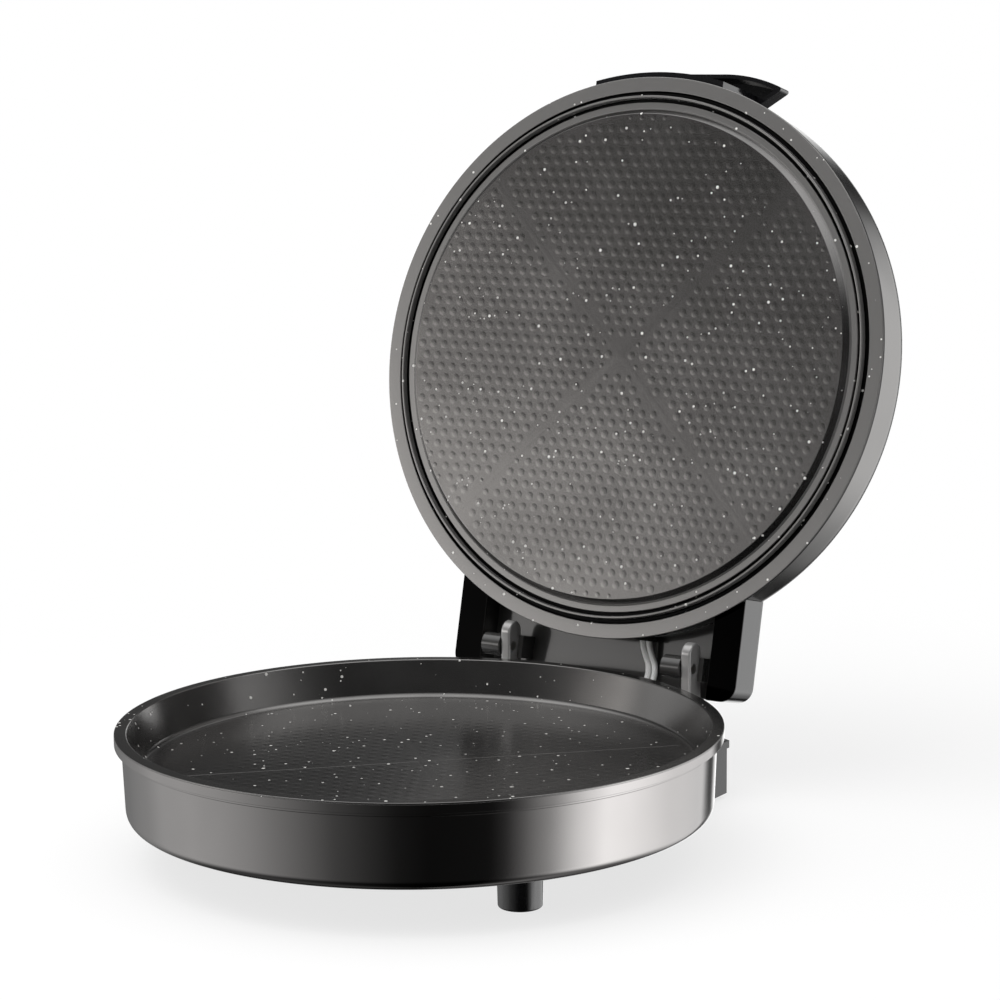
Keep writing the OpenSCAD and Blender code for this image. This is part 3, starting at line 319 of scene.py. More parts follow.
def make_braid() -> Tree:
    """Two crossing sets of yarns round a sleeve, on its UV map.

    Returns:
        The group, which puts out the yarns' height.
    """
    nodes = GroupNodes("Braid", Yarns=6, Pitch=300)
    parts = nodes.add("SeparateXYZ", {0: nodes.entry["Vector"]})
    turns = nodes.times(parts.outputs[0], nodes.entry["Yarns"])
    steps = nodes.times(parts.outputs[1], nodes.entry["Pitch"])
    sets = [nodes.math(kind, turns, steps) for kind in ("ADD", "SUBTRACT")]
    waves = [nodes.math("SINE", nodes.times(yarns, math.tau)) for yarns in sets]
    return nodes.close(Height=nodes.ramp(nodes.math("MAXIMUM", *waves), -1, 1))


class Effects:
    """The shader node groups that several finishes share."""

    def __init__(self) -> None:
        """Builds each group once."""
        self.flecks = make_flecks()
        self.grain = make_grain()
        self.handling = make_handling()
        self.braid = make_braid()


# ---- Finishes ----


@dataclass(frozen=True)
class Kit:
    """The nodes of one material, its Object coordinates and the shared groups."""

    nodes: Nodes
    place: Socket
    effects: Effects

    def group(self, tree: Tree, **values: float) -> bpy.types.NodeOutputs:
        """Adds a shared group on the Object coordinates, and returns its outputs."""
        return self.nodes.add("Group", {"Vector": self.place, **values}, node_tree=tree).outputs

    def bump(self, height: Socket, depth: float, reach: float = MM) -> Socket:
        """Turns a height of 0 to 1 into a normal, where 1 stands for the reach in metres."""
        return self.nodes.add("Bump", {"Height": height, "Strength": depth, "Distance": reach}).outputs[0]


@dataclass(frozen=True)
class Finish:
    """A finish: its name, its colour and how it shines."""

    name: str
    colour: Colour
    metallic: float = 0.0
    roughness: float = 0.4
    specular: float = 0.5
    coat: float = 0.0
    coat_roughness: float = 0.08
    grain_scale: float = 900.0
    grain_depth: float = 0.02
    shade: float = 0.12
    smudge: float = 0.06
    scratch: float = 0.05
    shade_from: float = 0.3
    shade_to: float = 0.7

    def build(self, effects: Effects) -> bpy.types.Material:
        """Makes the material.

        Args:
            effects: the shared node groups.

        Returns:
            The finished material.
        """
        material = bpy.data.materials.new(self.name)
        material.use_nodes = True
        material.diffuse_color = (*self.colour, 1)
        nodes = Nodes(material.node_tree)
        shader = material.node_tree.nodes["Principled BSDF"]
        nodes.feed(shader, self.plain())
        nodes.feed(shader, self.patterned(Kit(nodes, nodes.add("TexCoord").outputs["Object"], effects)))
        return material

    def plain(self) -> dict[str, float]:
        """Sets the shader inputs that are alike all over the surface.

        Returns:
            The values, by input name.
        """
        return {
            "Metallic": self.metallic,
            "Specular IOR Level": self.specular,
            "Coat Weight": self.coat,
            "Coat Roughness": self.coat_roughness,
        }

    def patterned(self, kit: Kit) -> dict[str, Socket]:
        """Adds the patterns that change over the surface.

        Args:
            kit: the material's nodes.

        Returns:
            The sockets that feed the shader, by input name.
        """
        grain = kit.group(kit.effects.grain, Scale=self.grain_scale)
        marks = kit.group(kit.effects.handling)
        scratched = kit.nodes.times(marks["Scratch"], self.scratch)
        return {
            "Base Color": self.tinted(kit, grain["Shade"]),
            "Roughness": kit.nodes.plus(self.wiped(kit, marks, self.roughness), scratched),
            "Normal": kit.bump(grain["Height"], self.grain_depth),
        }

    def tinted(self, kit: Kit, shade: Socket) -> Socket:
        """Colour with its slow unevenness, which follows the slow shade."""
        dark, light = (tuple(min(1.0, c * (1 + way * self.shade)) for c in self.colour) for way in (-1, 1))
        return kit.nodes.blend(kit.nodes.ramp(shade, self.shade_from, self.shade_to), dark, light)

    def wiped(self, kit: Kit, marks: bpy.types.NodeOutputs, rough: object) -> Socket:
        """Roughness with its smudges, from the outputs of the handling group."""
        return kit.nodes.plus(rough, kit.nodes.times(marks["Smudge"], self.smudge))


@dataclass(frozen=True)
class StoneCoat(Finish):
    """Dark non-stick coating with pale flecks of two sizes."""

    fleck_colour: Colour = (0.8, 0.79, 0.76)
    # Scale, size and share of the fine flecks and of the broad ones
    flecks: tuple[tuple[float, float, float], ...] = ((215, 0.2, 0.62), (92, 0.1, 0.9))

    def patterned(self, kit: Kit) -> dict[str, Socket]:
        """Lays the flecks over the coating.

        Args:
            kit: the material's nodes.

        Returns:
            The sockets that feed the shader, by input name.
        """
        nodes = kit.nodes
        grain = kit.group(kit.effects.grain, Scale=self.grain_scale)
        marks = kit.group(kit.effects.handling)
        layers = [kit.group(kit.effects.flecks, Scale=a, Size=b, Share=c) for a, b, c in self.flecks]
        mask, tone = (nodes.math("MAXIMUM", *(layer[key] for layer in layers)) for key in ("Mask", "Tone"))
        ground = self.tinted(kit, grain["Shade"])
        ground, rough, metal = self.zoned(kit, ground, self.wiped(kit, marks, self.roughness))
        return {
            "Base Color": nodes.blend(nodes.times(mask, tone), ground, self.fleck_colour),
            "Metallic": nodes.times(nodes.math("SUBTRACT", 1.0, mask), metal),
            "Roughness": rough,
            "Normal": kit.bump(grain["Height"], self.grain_depth),
        }

    def zoned(self, kit: Kit, ground: object, rough: object) -> tuple[object, object, object]:
        """Leaves the coating alike all over: its colour, its roughness and its metallic share."""
        return ground, rough, self.metallic


@dataclass(frozen=True)
class RingedCoat(StoneCoat):
    """The coating of the upper plate: paler flat lands round the dark floor, and painted black shade in the
    deep channels.
    """

    lid: LidPlace | None = None
    land_from: float = 0.1545
    land_blur: float = 0.0002
    land_colour: Colour = (0.27, 0.264, 0.259)
    land_metallic: float = 0.6
    channel_z: tuple[float, float] = (0.0001, 0.0006)
    # Painted shade: near-black colour for the deep channels, where little light reaches
    channel_painted_shade: Colour = (0.012, 0.012, 0.012)
    channel_roughness: float = 0.3

    def zoned(self, kit: Kit, ground: object, rough: object) -> tuple[object, object, object]:
        """Makes the lands paler and paints black shade into the deep channels.

        Args:
            kit: the material's nodes.
            ground: the coating's colour.
            rough: its roughness.

        Returns:
            Colour, roughness and metallic share.
        """
        nodes = kit.nodes
        limits = (self.land_from - self.land_blur, self.land_from + self.land_blur)
        out = nodes.ramp(self.lid.radius(kit), *limits)
        deep = nodes.ramp(self.lid.along(kit, 2), *self.channel_z)
        land = nodes.times(out, nodes.math("SUBTRACT", 1.0, deep))
        # Painted shade: the channels are coloured near black because they are deep and get little light.
        channel = nodes.times(deep, out)
        ground = nodes.blend(channel, nodes.blend(land, ground, self.land_colour), self.channel_painted_shade)
        rough = nodes.plus(rough, nodes.times(channel, self.channel_roughness))
        return ground, rough, nodes.ramp(land, 0, 1, self.metallic, self.land_metallic)


@dataclass(frozen=True)
class BracketGloss(Finish):
    """Moulded bracket: black legs whose fronts are painted shade, near black with no reflection, and a paler
    grey glossy recess between them.
    """

    smudge: float = 0.03
    lid: LidPlace | None = None
    leg_x: float = 0.0812
    leg_blur: float = 0.0004
    front_z: float = 0.0062
    front_blur: float = 0.0003
    recess_colour: Colour = (0.045, 0.044, 0.043)
    recess_roughness: float = 0.2
    recess_coat: float = 1.0
    side_coat: float = 0.3

    def patterned(self, kit: Kit) -> dict[str, Socket]:
        """Sets the legs' black fronts off from the recess.

        Args:
            kit: the material's nodes.

        Returns:
            The sockets that feed the shader, by input name.
        """
        nodes = kit.nodes
        grain = kit.group(kit.effects.grain, Scale=self.grain_scale)
        marks = kit.group(kit.effects.handling)
        across = nodes.math("ABSOLUTE", self.lid.along(kit, 0))
        legs = nodes.ramp(across, self.leg_x - self.leg_blur, self.leg_x)
        front = nodes.ramp(self.lid.along(kit, 2), self.front_z, self.front_z + self.front_blur, 1.0, 0.0)
        # Painted shade: the legs' fronts get a near-black metallic colour that takes away their reflection,
        # while their sides keep a gloss coat.
        black = nodes.times(legs, front)
        glossy = nodes.ramp(legs, 0, 1, self.recess_coat, self.side_coat)
        rough = nodes.ramp(legs, 0, 1, self.recess_roughness, self.roughness)
        return {
            "Base Color": nodes.blend(legs, self.recess_colour, self.tinted(kit, grain["Shade"])),
            "Metallic": black,
            "Roughness": self.wiped(kit, marks, rough),
            "Coat Weight": nodes.times(glossy, nodes.math("SUBTRACT", 1.0, black)),
            "Normal": kit.bump(grain["Height"], self.grain_depth),
        }


@dataclass(frozen=True)
class BraidedSleeve(Finish):
    """White glass-fibre sleeve, its yarns laid on the UV map, with painted shade in the creases between them.
    """

    yarns: float = 7.0
    pitch: float = 420.0
    sheen: float = 0.25
    # Share of the colour left where the yarns dip: painted shade in the creases between them
    valley_painted_shade: float = 0.82
    fuzz: float = 0.1
    relief: float = 0.5
    yarn_depth: float = 0.0003

    def plain(self) -> dict[str, float]:
        """Shader inputs that are alike all over the surface."""
        return super().plain() | {"Sheen Weight": self.sheen}

    def patterned(self, kit: Kit) -> dict[str, Socket]:
        """Lays the yarns.

        Args:
            kit: the material's nodes.

        Returns:
            The sockets that feed the shader, by input name.
        """
        nodes = kit.nodes
        grain = kit.group(kit.effects.grain)
        turns = {"Vector": nodes.add("UVMap").outputs[0], "Yarns": self.yarns, "Pitch": self.pitch}
        yarn = nodes.add("Group", turns, node_tree=kit.effects.braid).outputs["Height"]
        # Painted shade: the colour darkens where the yarns dip, in the creases between them.
        dark = tuple(c * self.valley_painted_shade for c in self.colour)
        return {
            "Base Color": nodes.blend(yarn, dark, self.tinted(kit, grain["Shade"])),
            "Roughness": nodes.plus(self.roughness, nodes.times(grain["Height"], self.fuzz)),
            "Normal": kit.bump(yarn, self.relief, self.yarn_depth),
        }


@dataclass(frozen=True)
class ClearPlastic(Finish):
    """Tinted clear plastic or glass."""

    passing: float = 0.8
    ior: float = 1.49

    def plain(self) -> dict[str, float]:
        """Shader inputs that are alike all over the surface."""
        return super().plain() | {"Transmission Weight": self.passing, "IOR": self.ior}


FINISHES: dict[Slot, Finish] = {
    Slot.SHELL: Finish("dark_polished_shell", (0.31, 0.30, 0.295), 1.0, 0.11, grain_depth=0.008, shade=0.03),
    Slot.LID: Finish("dark_polished_lid", (0.185, 0.181, 0.177), 1.0, 0.16, grain_depth=0.008, shade=0.03),
    Slot.NONSTICK: StoneCoat(
        "stone_effect_nonstick", (0.235, 0.23, 0.226), 0.96, 0.2,
        grain_scale=1400, grain_depth=0.03, smudge=0.02,
    ),
    Slot.HEATER: Finish("heat_tinted_tube", (0.19, 0.16, 0.14), 0.9, 0.5, grain_depth=0.12, shade=0.35),
    Slot.ZINC: Finish("zinc_plated_steel", (0.62, 0.61, 0.58), 1.0, 0.32, grain_depth=0.05, shade=0.1),
    Slot.SHEET: Finish("bright_rolled_sheet", (0.84, 0.84, 0.84), 1.0, 0.22, grain_depth=0.03, shade=0.05),
    Slot.PLASTIC: Finish("grained_black_plastic", (0.016, 0.016, 0.017), 0.0, 0.42, grain_depth=0.14),
    Slot.GLOSS: Finish(
        "gloss_black_plastic", (0.008, 0.008, 0.009), 0.0, 0.09, 0.6, coat=0.3, grain_depth=0.006
    ),
    Slot.RUBBER: Finish("black_rubber", (0.012, 0.012, 0.012), 0.0, 0.75, grain_depth=0.2),
    Slot.CERAMIC: Finish("unglazed_ceramic", (0.74, 0.71, 0.64), 0.0, 0.55, grain_depth=0.1),
    Slot.SLEEVE: BraidedSleeve("braided_glass_sleeve", (0.97, 0.97, 0.95), 0.0, 0.4),
    Slot.LENS: ClearPlastic("red_indicator_lens", (0.65, 0.03, 0.02), 0.0, 0.12, passing=0.6),
    Slot.LAMP: ClearPlastic("neon_bulb_glass", (0.9, 0.6, 0.4), 0.0, 0.08),
}


class FinishBook:
    """The materials, made once each, by slot."""

    def __init__(self) -> None:
        """Builds every finish."""
        self.effects = Effects()
        self.made = {finish.name: finish.build(self.effects) for finish in FINISHES.values()}

    def put(self, piece: Piece, slot: Slot, finish: Finish | None = None) -> None:
        """Gives a piece one finish all over.

        Args:
            piece: the object to dress.
            slot: the slot whose finish it gets.
            finish: a finish of its own in that slot.
        """
        chosen = finish or FINISHES[slot]
        if chosen.name not in self.made:
            self.made[chosen.name] = chosen.build(self.effects)
        piece.data.materials.clear()
        piece.data.materials.append(self.made[chosen.name])


# ---- Mesh helpers ----

# Distances in metres at which points merge: on an outline, in the CAD's loose triangles, after a rounding
OUTLINE_GAP, LOOSE_GAP, ROUNDED_GAP = 1e-7, 2e-6, 1e-6
# Largest share of a side that a corner's rounding takes
SIDE_SHARE = 0.49
# Angle in degrees below which the CAD's facets are one face
FACET_ANGLE = 0.6


def fillet(points: Iterable[Point], steps: int = 4) -> list[tuple[float, float]]:
    """Rounds the corners of a closed outline.

    Args:
        points: radius, height and corner radius of each corner, in millimetres.
        steps: pieces to a rounded corner.

    Returns:
        Radius and height of each point, in metres.
    """
    corners = list(points)
    outline = []
    for i, (r, z, size) in enumerate(corners):
        here = Vector((r, z))
        before = Vector(corners[i - 1][:2]) - here
        after = Vector(corners[(i + 1) % len(corners)][:2]) - here
        if size <= 0:
            outline.append(here * MM)
            continue
        half = before.angle(after) / 2
        cut = min(size / math.tan(half), before.length * SIDE_SHARE, after.length * SIDE_SHARE)
        first, last = here + before.normalized() * cut, here + after.normalized() * cut
        for k in range(steps + 1):
            t = k / steps
            outline.append((first * (1 - t) ** 2 + here * 2 * t * (1 - t) + last * t**2) * MM)
    return [(p[0], p[1]) for p in outline]


def finish_mesh(name: str, bm: Mesh, place: Matrix, crease: float = 35.0) -> Piece:
    """Turns a bmesh into an object at the origin with smooth faces and sharp creases.

    Args:
        name: the piece's name.
        bm: the shape, freed afterwards.
        place: where the shape goes.
        crease: angle in degrees above which an edge stays sharp.

    Returns:
        The new object, linked to the scene.
    """
    bmesh.ops.transform(bm, matrix=place, verts=bm.verts)
    for face in bm.faces:
        face.smooth = True
    for edge in bm.edges:
        edge.smooth = not (len(edge.link_faces) == 2 and edge.calc_face_angle(0.0) > math.radians(crease))
    mesh = bpy.data.meshes.new(name)
    bm.to_mesh(mesh)
    bm.free()
    piece = bpy.data.objects.new(name, mesh)
    bpy.context.scene.collection.objects.link(piece)
    return piece


def even(piece: Piece) -> Piece:
    """Shades broad faces as flat, so that only the roundings beside them bend the light."""
    piece.modifiers.new("even_shading", "WEIGHTED_NORMAL").keep_sharp = True
    return piece


def turned(
    name: str, outline: list[tuple[float, float]], place: Matrix, steps: int = 256
) -> Piece:
    """Spins a closed outline round the Z axis.

    Args:
        name: the piece's name.
        outline: radius and height of each point, in metres.
        place: where the shape goes.
        steps: steps to a full turn.

    Returns:
        The new piece.
    """
    bm = bmesh.new()
    verts = [bm.verts.new((r, 0, z)) for r, z in outline]
    edges = []
    for i, vert in enumerate(verts):
        if outline[i - 1][0] + outline[i][0] > OUTLINE_GAP:
            edges.append(bm.edges.new((verts[i - 1], vert)))
    bmesh.ops.spin(
        bm, geom=verts + edges, cent=(0, 0, 0), axis=(0, 0, 1), dvec=(0, 0, 0),
        angle=math.tau, steps=steps, use_merge=True,
    )
    bmesh.ops.remove_doubles(bm, verts=bm.verts, dist=OUTLINE_GAP)
    bmesh.ops.recalc_face_normals(bm, faces=bm.faces)
    return even(finish_mesh(name, bm, place))


def softened(
    node: str,
    width: float,
    segments: int = 3,
    chosen: Callable[[Vector], bool] = lambda middle: True,
    crease: float = 30.0,
) -> Piece:
    """Copies a CAD node's shape with its corners rounded, and stands in for it.

    Args:
        node: the CAD node.
        width: size of the rounding in millimetres.
        segments: steps across a rounding.
        chosen: says of an edge's middle whether that edge is rounded.
        crease: angle in degrees above which an edge is rounded.

    Returns:
        The new piece.
    """
    bm = bmesh.new()
    bm.from_mesh(frame["nodes"][node].data)
    bmesh.ops.remove_doubles(bm, verts=bm.verts, dist=LOOSE_GAP)
    bmesh.ops.dissolve_limit(bm, angle_limit=math.radians(FACET_ANGLE), verts=bm.verts, edges=bm.edges)
    sharp = [e for e in bm.edges if len(e.link_faces) == 2 and e.calc_face_angle(0.0) > math.radians(crease)]
    sharp = [e for e in sharp if chosen((e.verts[0].co + e.verts[1].co) / 2)]
    bmesh.ops.bevel(
        bm, geom=sharp, offset=width * MM, offset_type="OFFSET", segments=segments,
        profile=0.5, affect="EDGES", clamp_overlap=True, material=-1,
    )
    bmesh.ops.remove_doubles(bm, verts=bm.verts, dist=ROUNDED_GAP)
    piece = even(finish_mesh(node + "_finished", bm, Matrix.Identity(4), 40))
    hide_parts(node)
    return piece


@dataclass
class Assembly:
    """A sub-assembly: where the appliance's axes are, and the materials that its pieces take."""

    layout: Layout
    book: FinishBook

    def ride(self, piece: Piece, body: Body, slot: Slot, finish: Finish | None = None) -> None:
        """Dresses a new piece and makes it ride on its body.

        Args:
            piece: the piece.
            body: the body that it moves with.
            slot: its material slot.
            finish: a finish of its own in that slot.
        """
        self.book.put(piece, slot, finish)
        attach(piece, body.value)
        LOG.info("%s rides on %s", piece.name, body.value)


# ---- Cooking plates ----


@dataclass
class PlateFloor:
    """Texture of a cooking face, in millimetres: low domes in a close lattice and a smooth cross."""

    radius: float = 150.0
    pitch: float = 8.1
    dome_r: float = 3.1
    dome_h: float = 0.09
    smallest: float = 0.4
    band_w: float = 3.8
    band_h: float = 0.07
    band_edge: float = 0.1
    band_gap: float = 0.5
    # How far the domes and the bands reach into the floor
    dome_sunk: float = 0.02
    band_sunk: float = 0.15
    # Facets round a dome, and its rings as shares of its radius
    sides: int = 9
    rings: tuple[float, ...] = (1.0, 0.72, 0.36)

    def first(self, bm: Mesh, x: float, y: float) -> None:
        """Builds one low dome.

        Args:
            bm: the mesh to add to.
            x: place in metres.
            y: place in metres.
        """
        loops = []
        for share in self.rings:
            made = bmesh.ops.create_circle(bm, segments=self.sides, radius=share * self.dome_r * MM)["verts"]
            z = (self.dome_h * (1 - share**2) - self.dome_sunk) * MM
            bmesh.ops.translate(bm, vec=(x, y, z), verts=made)
            loops.append(made)
        for low, high in zip(loops, loops[1:]):
            for i in range(self.sides):
                k = (i + 1) % self.sides
                bm.faces.new((low[i], low[k], high[k], high[i]))
        bm.faces.new(loops[-1])

    def domes(self, name: str, place: Matrix) -> Piece:
        """Builds the lattice of domes between the smooth bands.

        Args:
            name: the piece's name.
            place: frame whose +Z points out of the cooking face at the floor.

        Returns:
            The new piece.
        """
        bm = bmesh.new()
        mark = bm.verts.layers.int.new("dome")
        pitch, row = self.pitch * MM, self.pitch * MM * math.sqrt(3) / 2
        count = 2 ** math.ceil(math.log2(2 * self.radius * MM / row + 1))
        self.first(bm, -count / 2 * pitch, -count / 2 * row)
        steps = [(Vector((pitch / 2, row, 0)), 1)]
        doublings = int(math.log2(count))
        steps += [(Vector((pitch * 2**k, 0, 0)), 2 ** (k + 1)) for k in range(doublings)]
        steps += [(Vector((0, row * 2 ** (k + 1), 0)), count * 2 ** (k + 1)) for k in range(doublings - 1)]
        for step, number in steps:
            copied = bmesh.ops.duplicate(bm, geom=bm.verts[:] + bm.edges[:] + bm.faces[:])["geom"]
            verts = [v for v in copied if isinstance(v, bmesh.types.BMVert)]
            bmesh.ops.translate(bm, vec=step, verts=verts)
            for vert in verts:
                vert[mark] += number
        self.trim(bm, mark)
        bm.verts.layers.int.remove(mark)
        return finish_mesh(name, bm, place, 60)

    def trim(self, bm: Mesh, mark: bmesh.types.BMLayerItem) -> None:
        """Takes away the domes beyond the rim and on the smooth bands, and narrows those beside them.

        Args:
            bm: the whole lattice.
            mark: the layer that numbers the domes.
        """
        groups: dict[int, list[bmesh.types.BMVert]] = {}
        for vert in bm.verts:
            groups.setdefault(vert[mark], []).append(vert)
        extra = []
        for verts in groups.values():
            middle = sum((v.co for v in verts), Vector()) / len(verts) / MM
            from_bands = min(abs(middle.x - middle.y), abs(middle.x + middle.y)) / math.sqrt(2)
            from_rim = self.radius - math.hypot(middle.x, middle.y)
            room = min(from_rim, from_bands - self.band_w / 2) / self.dome_r
            if room < self.smallest:
                extra += verts
            elif room < 1:
                for vert in verts:
                    vert.co.xy = (middle.xy * (1 - room)) * MM + vert.co.xy * room
        bmesh.ops.delete(bm, geom=extra, context="VERTS")

    def cross(self, name: str, place: Matrix) -> Piece:
        """Builds the two smooth bands that cross in the middle.

        Args:
            name: the piece's name.
            place: frame whose +Z points out of the cooking face at the floor.

        Returns:
            The new piece.
        """
        bm = bmesh.new()
        half = self.band_w / 2
        bmesh.ops.create_grid(bm, x_segments=1, y_segments=1, size=half * MM)
        for edge in list(bm.edges):
            way = (edge.verts[0].co + edge.verts[1].co).normalized()
            made = bmesh.ops.extrude_edge_only(bm, edges=[edge])["geom"]
            ends = [v for v in made if isinstance(v, bmesh.types.BMVert)]
            bmesh.ops.translate(bm, vec=way * (self.radius - self.band_gap - half) * MM, verts=ends)
        faces = bmesh.ops.extrude_face_region(bm, geom=list(bm.faces))["geom"]
        raised = [v for v in faces if isinstance(v, bmesh.types.BMVert)]
        bmesh.ops.translate(bm, vec=(0, 0, (self.band_h + self.band_sunk) * MM), verts=raised)
        bmesh.ops.recalc_face_normals(bm, faces=bm.faces)
        top = [e for e in bm.edges if all(v in raised for v in e.verts) and e.calc_face_angle(0.0) > 1]
        bmesh.ops.bevel(
            bm, geom=top, offset=self.band_edge * MM, segments=2, profile=0.5, affect="EDGES", material=-1
        )
        bmesh.ops.translate(bm, vec=(0, 0, -self.band_sunk * MM), verts=bm.verts)
        return even(finish_mesh(name, bm, place @ Matrix.Rotation(math.radians(45), 4, "Z"), 40))

    def lay(self, plate: str, body: Body, face: Matrix, owner: Assembly) -> None:
        """Lays the domes and the cross on a cooking face whose +Z points out at the floor."""
        owner.ride(self.domes(plate + "_domes", face), body, Slot.NONSTICK)
        owner.ride(self.cross(plate + "_cross", face), body, Slot.NONSTICK)


@dataclass
class LowerPlate(Assembly):
    """Cast pan of the base, heights from the counter in millimetres."""

    rim_r: float = 170.0
    rim_z: float = 74.3
    band_h: float = 5.9
    opening_r: float = 163.2
    floor_r: float = 155.2
    floor_z: float = 52.3
    wall: float = 2.5
    facing: float = 0.5
    edge: float = 1.0
    rim_t: float = 3.0
    skirt: float = 3.1
    inner_slope: float = 0.4
    outer_slope: float = 0.6
    plain_w: float = 4.6

    def build(self) -> None:
        """Builds the pan with its bright band and its textured floor."""
        under = self.floor_z - self.wall
        low, top = self.rim_z - self.band_h, self.rim_z - self.edge
        outline = fillet([
            (0, under, 0),
            (self.floor_r - self.inner_slope, under, 6),
            (self.opening_r + self.outer_slope, self.rim_z - self.rim_t, 1),
            (self.rim_r - self.skirt, self.rim_z - self.rim_t, 0.2),
            (self.rim_r - self.skirt, low, 0.2),
            (self.rim_r - self.facing, low, 0.1),
            (self.rim_r - self.facing, top, 0.1),
            (self.rim_r, top, 0.1),
            (self.rim_r, self.rim_z, 0.8),
            (self.opening_r, self.rim_z, 0.9),
            (self.floor_r, self.floor_z, 4.0),
            (0, self.floor_z, 0),
        ], 5)
        pan = turned("lower_plate_pan", outline, self.layout.base)
        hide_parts("lower_plate")
        self.ride(pan, Body.BASE, Slot.NONSTICK)
        section = fillet([
            (self.rim_r - self.facing, low, 0),
            (self.rim_r, low, 0.4),
            (self.rim_r, top, 0.15),
            (self.rim_r - self.facing, top, 0),
        ])
        self.ride(turned("lower_plate_band", section, self.layout.base), Body.BASE, Slot.SHELL)
        face = self.layout.base @ Matrix.Translation((0, 0, self.floor_z * MM))
        PlateFloor(radius=self.floor_r - self.plain_w).lay("lower_plate", Body.BASE, face, self)


@dataclass
class UpperPlate(Assembly):
    """Cast plate of the lid, radii and heights above its flange in millimetres."""

    flange_r: float = 173.7
    flange_w: float = 8.9
    outer_channel_w: float = 3.3
    lip_w: float = 1.3
    inner_channel_w: float = 2.7
    ring_w: float = 4.1
    slope_w: float = 3.5
    land_inset: float = 0.6
    plain_w: float = 0.5
    plateau: float = 4.6
    lip: float = 3.2
    ring_z: float = 0.7
    channel: float = 1.8
    wall: float = 2.5

    def build(self) -> None:
        """Builds the plate with its lip, channels, ring and textured face."""
        inner = self.flange_r - self.flange_w
        lip_out = inner - self.outer_channel_w
        lip_in = lip_out - self.lip_w
        ring_out = lip_in - self.inner_channel_w
        ring_in = ring_out - self.ring_w
        plateau_r = ring_in - self.slope_w
        back = self.channel + self.wall - 0.1
        outline = fillet([
            (0, -self.plateau, 0),
            (plateau_r, -self.plateau, 0.7),
            (ring_in + 0.4, -self.ring_z, 0.4),
            (ring_out, -self.ring_z, 0.4),
            (ring_out + 0.5, self.channel, 0.3),
            (lip_in - 0.5, self.channel, 0.3),
            (lip_in, -self.lip, 0.45),
            (lip_out, -self.lip, 0.45),
            (lip_out + 0.6, self.channel, 0.3),
            (inner - 0.9, self.channel, 0.3),
            (inner, 0, 0.35),
            (self.flange_r, 0, 0.6),
            (self.flange_r, self.wall, 0.6),
            (inner + 1.2, self.wall, 0.3),
            (inner + 0.2, back, 0.3),
            (ring_in + 1, back, 0.5),
            (plateau_r - 1, self.wall - self.plateau, 0.5),
            (0, self.wall - self.plateau, 0),
        ], 3)
        plate = turned("upper_plate_casting", outline, self.layout.lid)
        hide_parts("upper_plate")
        coat = asdict(FINISHES[Slot.NONSTICK]) | {"name": "ringed_nonstick"}
        ringed = RingedCoat(**coat, lid=LidPlace(self.layout), land_from=(ring_in - self.land_inset) * MM)
        self.ride(plate, Body.LID, Slot.NONSTICK, ringed)
        down = Matrix.Rotation(math.pi, 4, "Y")
        face = self.layout.lid @ Matrix.Translation((0, 0, -self.plateau * MM)) @ down
        PlateFloor(radius=plateau_r - self.plain_w).lay("upper_plate", Body.LID, face, self)


# ---- Shells ----


@dataclass
class BaseShell(Assembly):
    """Pressed drum of the base, heights from the counter in millimetres."""

    low_z: float = 26.0
    top_z: float = 68.2
    top_r: float = 166.0
    low_r: float = 164.4
    bead_r: float = 167.2
    bead_h: float = 2.0
    corner: float = 7.5
    hole_r: float = 151.4
    wall: float = 1.0

    def build(self) -> None:
        """Builds the drum with its rolled bead and rounded lower edge."""
        bead = self.top_z - self.bead_h
        outline = fillet([
            (self.hole_r, self.low_z, 0.3),
            (self.low_r, self.low_z, self.corner),
            (self.top_r, bead, 0.35),
            (self.bead_r, bead, 0.7),
            (self.bead_r, self.top_z, 0.7),
            (self.top_r - self.wall, self.top_z, 0.3),
            (self.low_r - self.wall, self.low_z + self.wall, self.corner - self.wall),
            (self.hole_r, self.low_z + self.wall, 0.3),
        ], 8)
        shell = turned("base_drum", outline, self.layout.base)
        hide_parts("base_shell")
        self.ride(shell, Body.BASE, Slot.SHELL)


@dataclass
class LidShell(Assembly):
    """Pressed dome of the lid, heights above the flange in millimetres."""

    side_r: float = 172.0
    open_z: float = 3.1
    side_h: float = 25.5
    height: float = 58.0
    shoulder: float = 24.0
    wall: float = 1.0
    shoulder_steps: int = 14
    crown_steps: int = 24

    def arc(self, inset: float) -> list[tuple[float, float]]:
        """Half section of the dome from its open edge to the crown.

        Args:
            inset: how far inside the outer form, in millimetres.

        Returns:
            Radius and height of each point, in metres.
        """
        flat_r = self.side_r - self.shoulder
        rise = self.height - self.side_h
        crown = (flat_r**2 + rise**2 - self.shoulder**2) / (2 * (rise - self.shoulder))
        start = math.atan2(crown - rise, flat_r)
        points = [(self.side_r - inset, self.open_z)]
        for k in range(self.shoulder_steps + 1):
            a = start * k / self.shoulder_steps
            r = self.shoulder - inset
            points.append((flat_r + r * math.cos(a), self.side_h + r * math.sin(a)))
        for k in range(1, self.crown_steps + 1):
            a = start + (math.pi / 2 - start) * k / self.crown_steps
            r = crown - inset
            points.append((max(0.0, r * math.cos(a)), self.height - crown + r * math.sin(a)))
        return [(r * MM, z * MM) for r, z in points]

    def build(self) -> None:
        """Builds the dome."""
        outer = self.arc(0.0)
        inner = self.arc(self.wall)
        outline = outer[:-1] + [(0.0, outer[-1][1])] + [(0.0, inner[-1][1])] + inner[-2::-1]
        shell = turned("lid_dome", outline, self.layout.lid)
        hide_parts("lid_shell")
        self.ride(shell, Body.LID, Slot.LID)


# ---- Moulded and small pieces ----


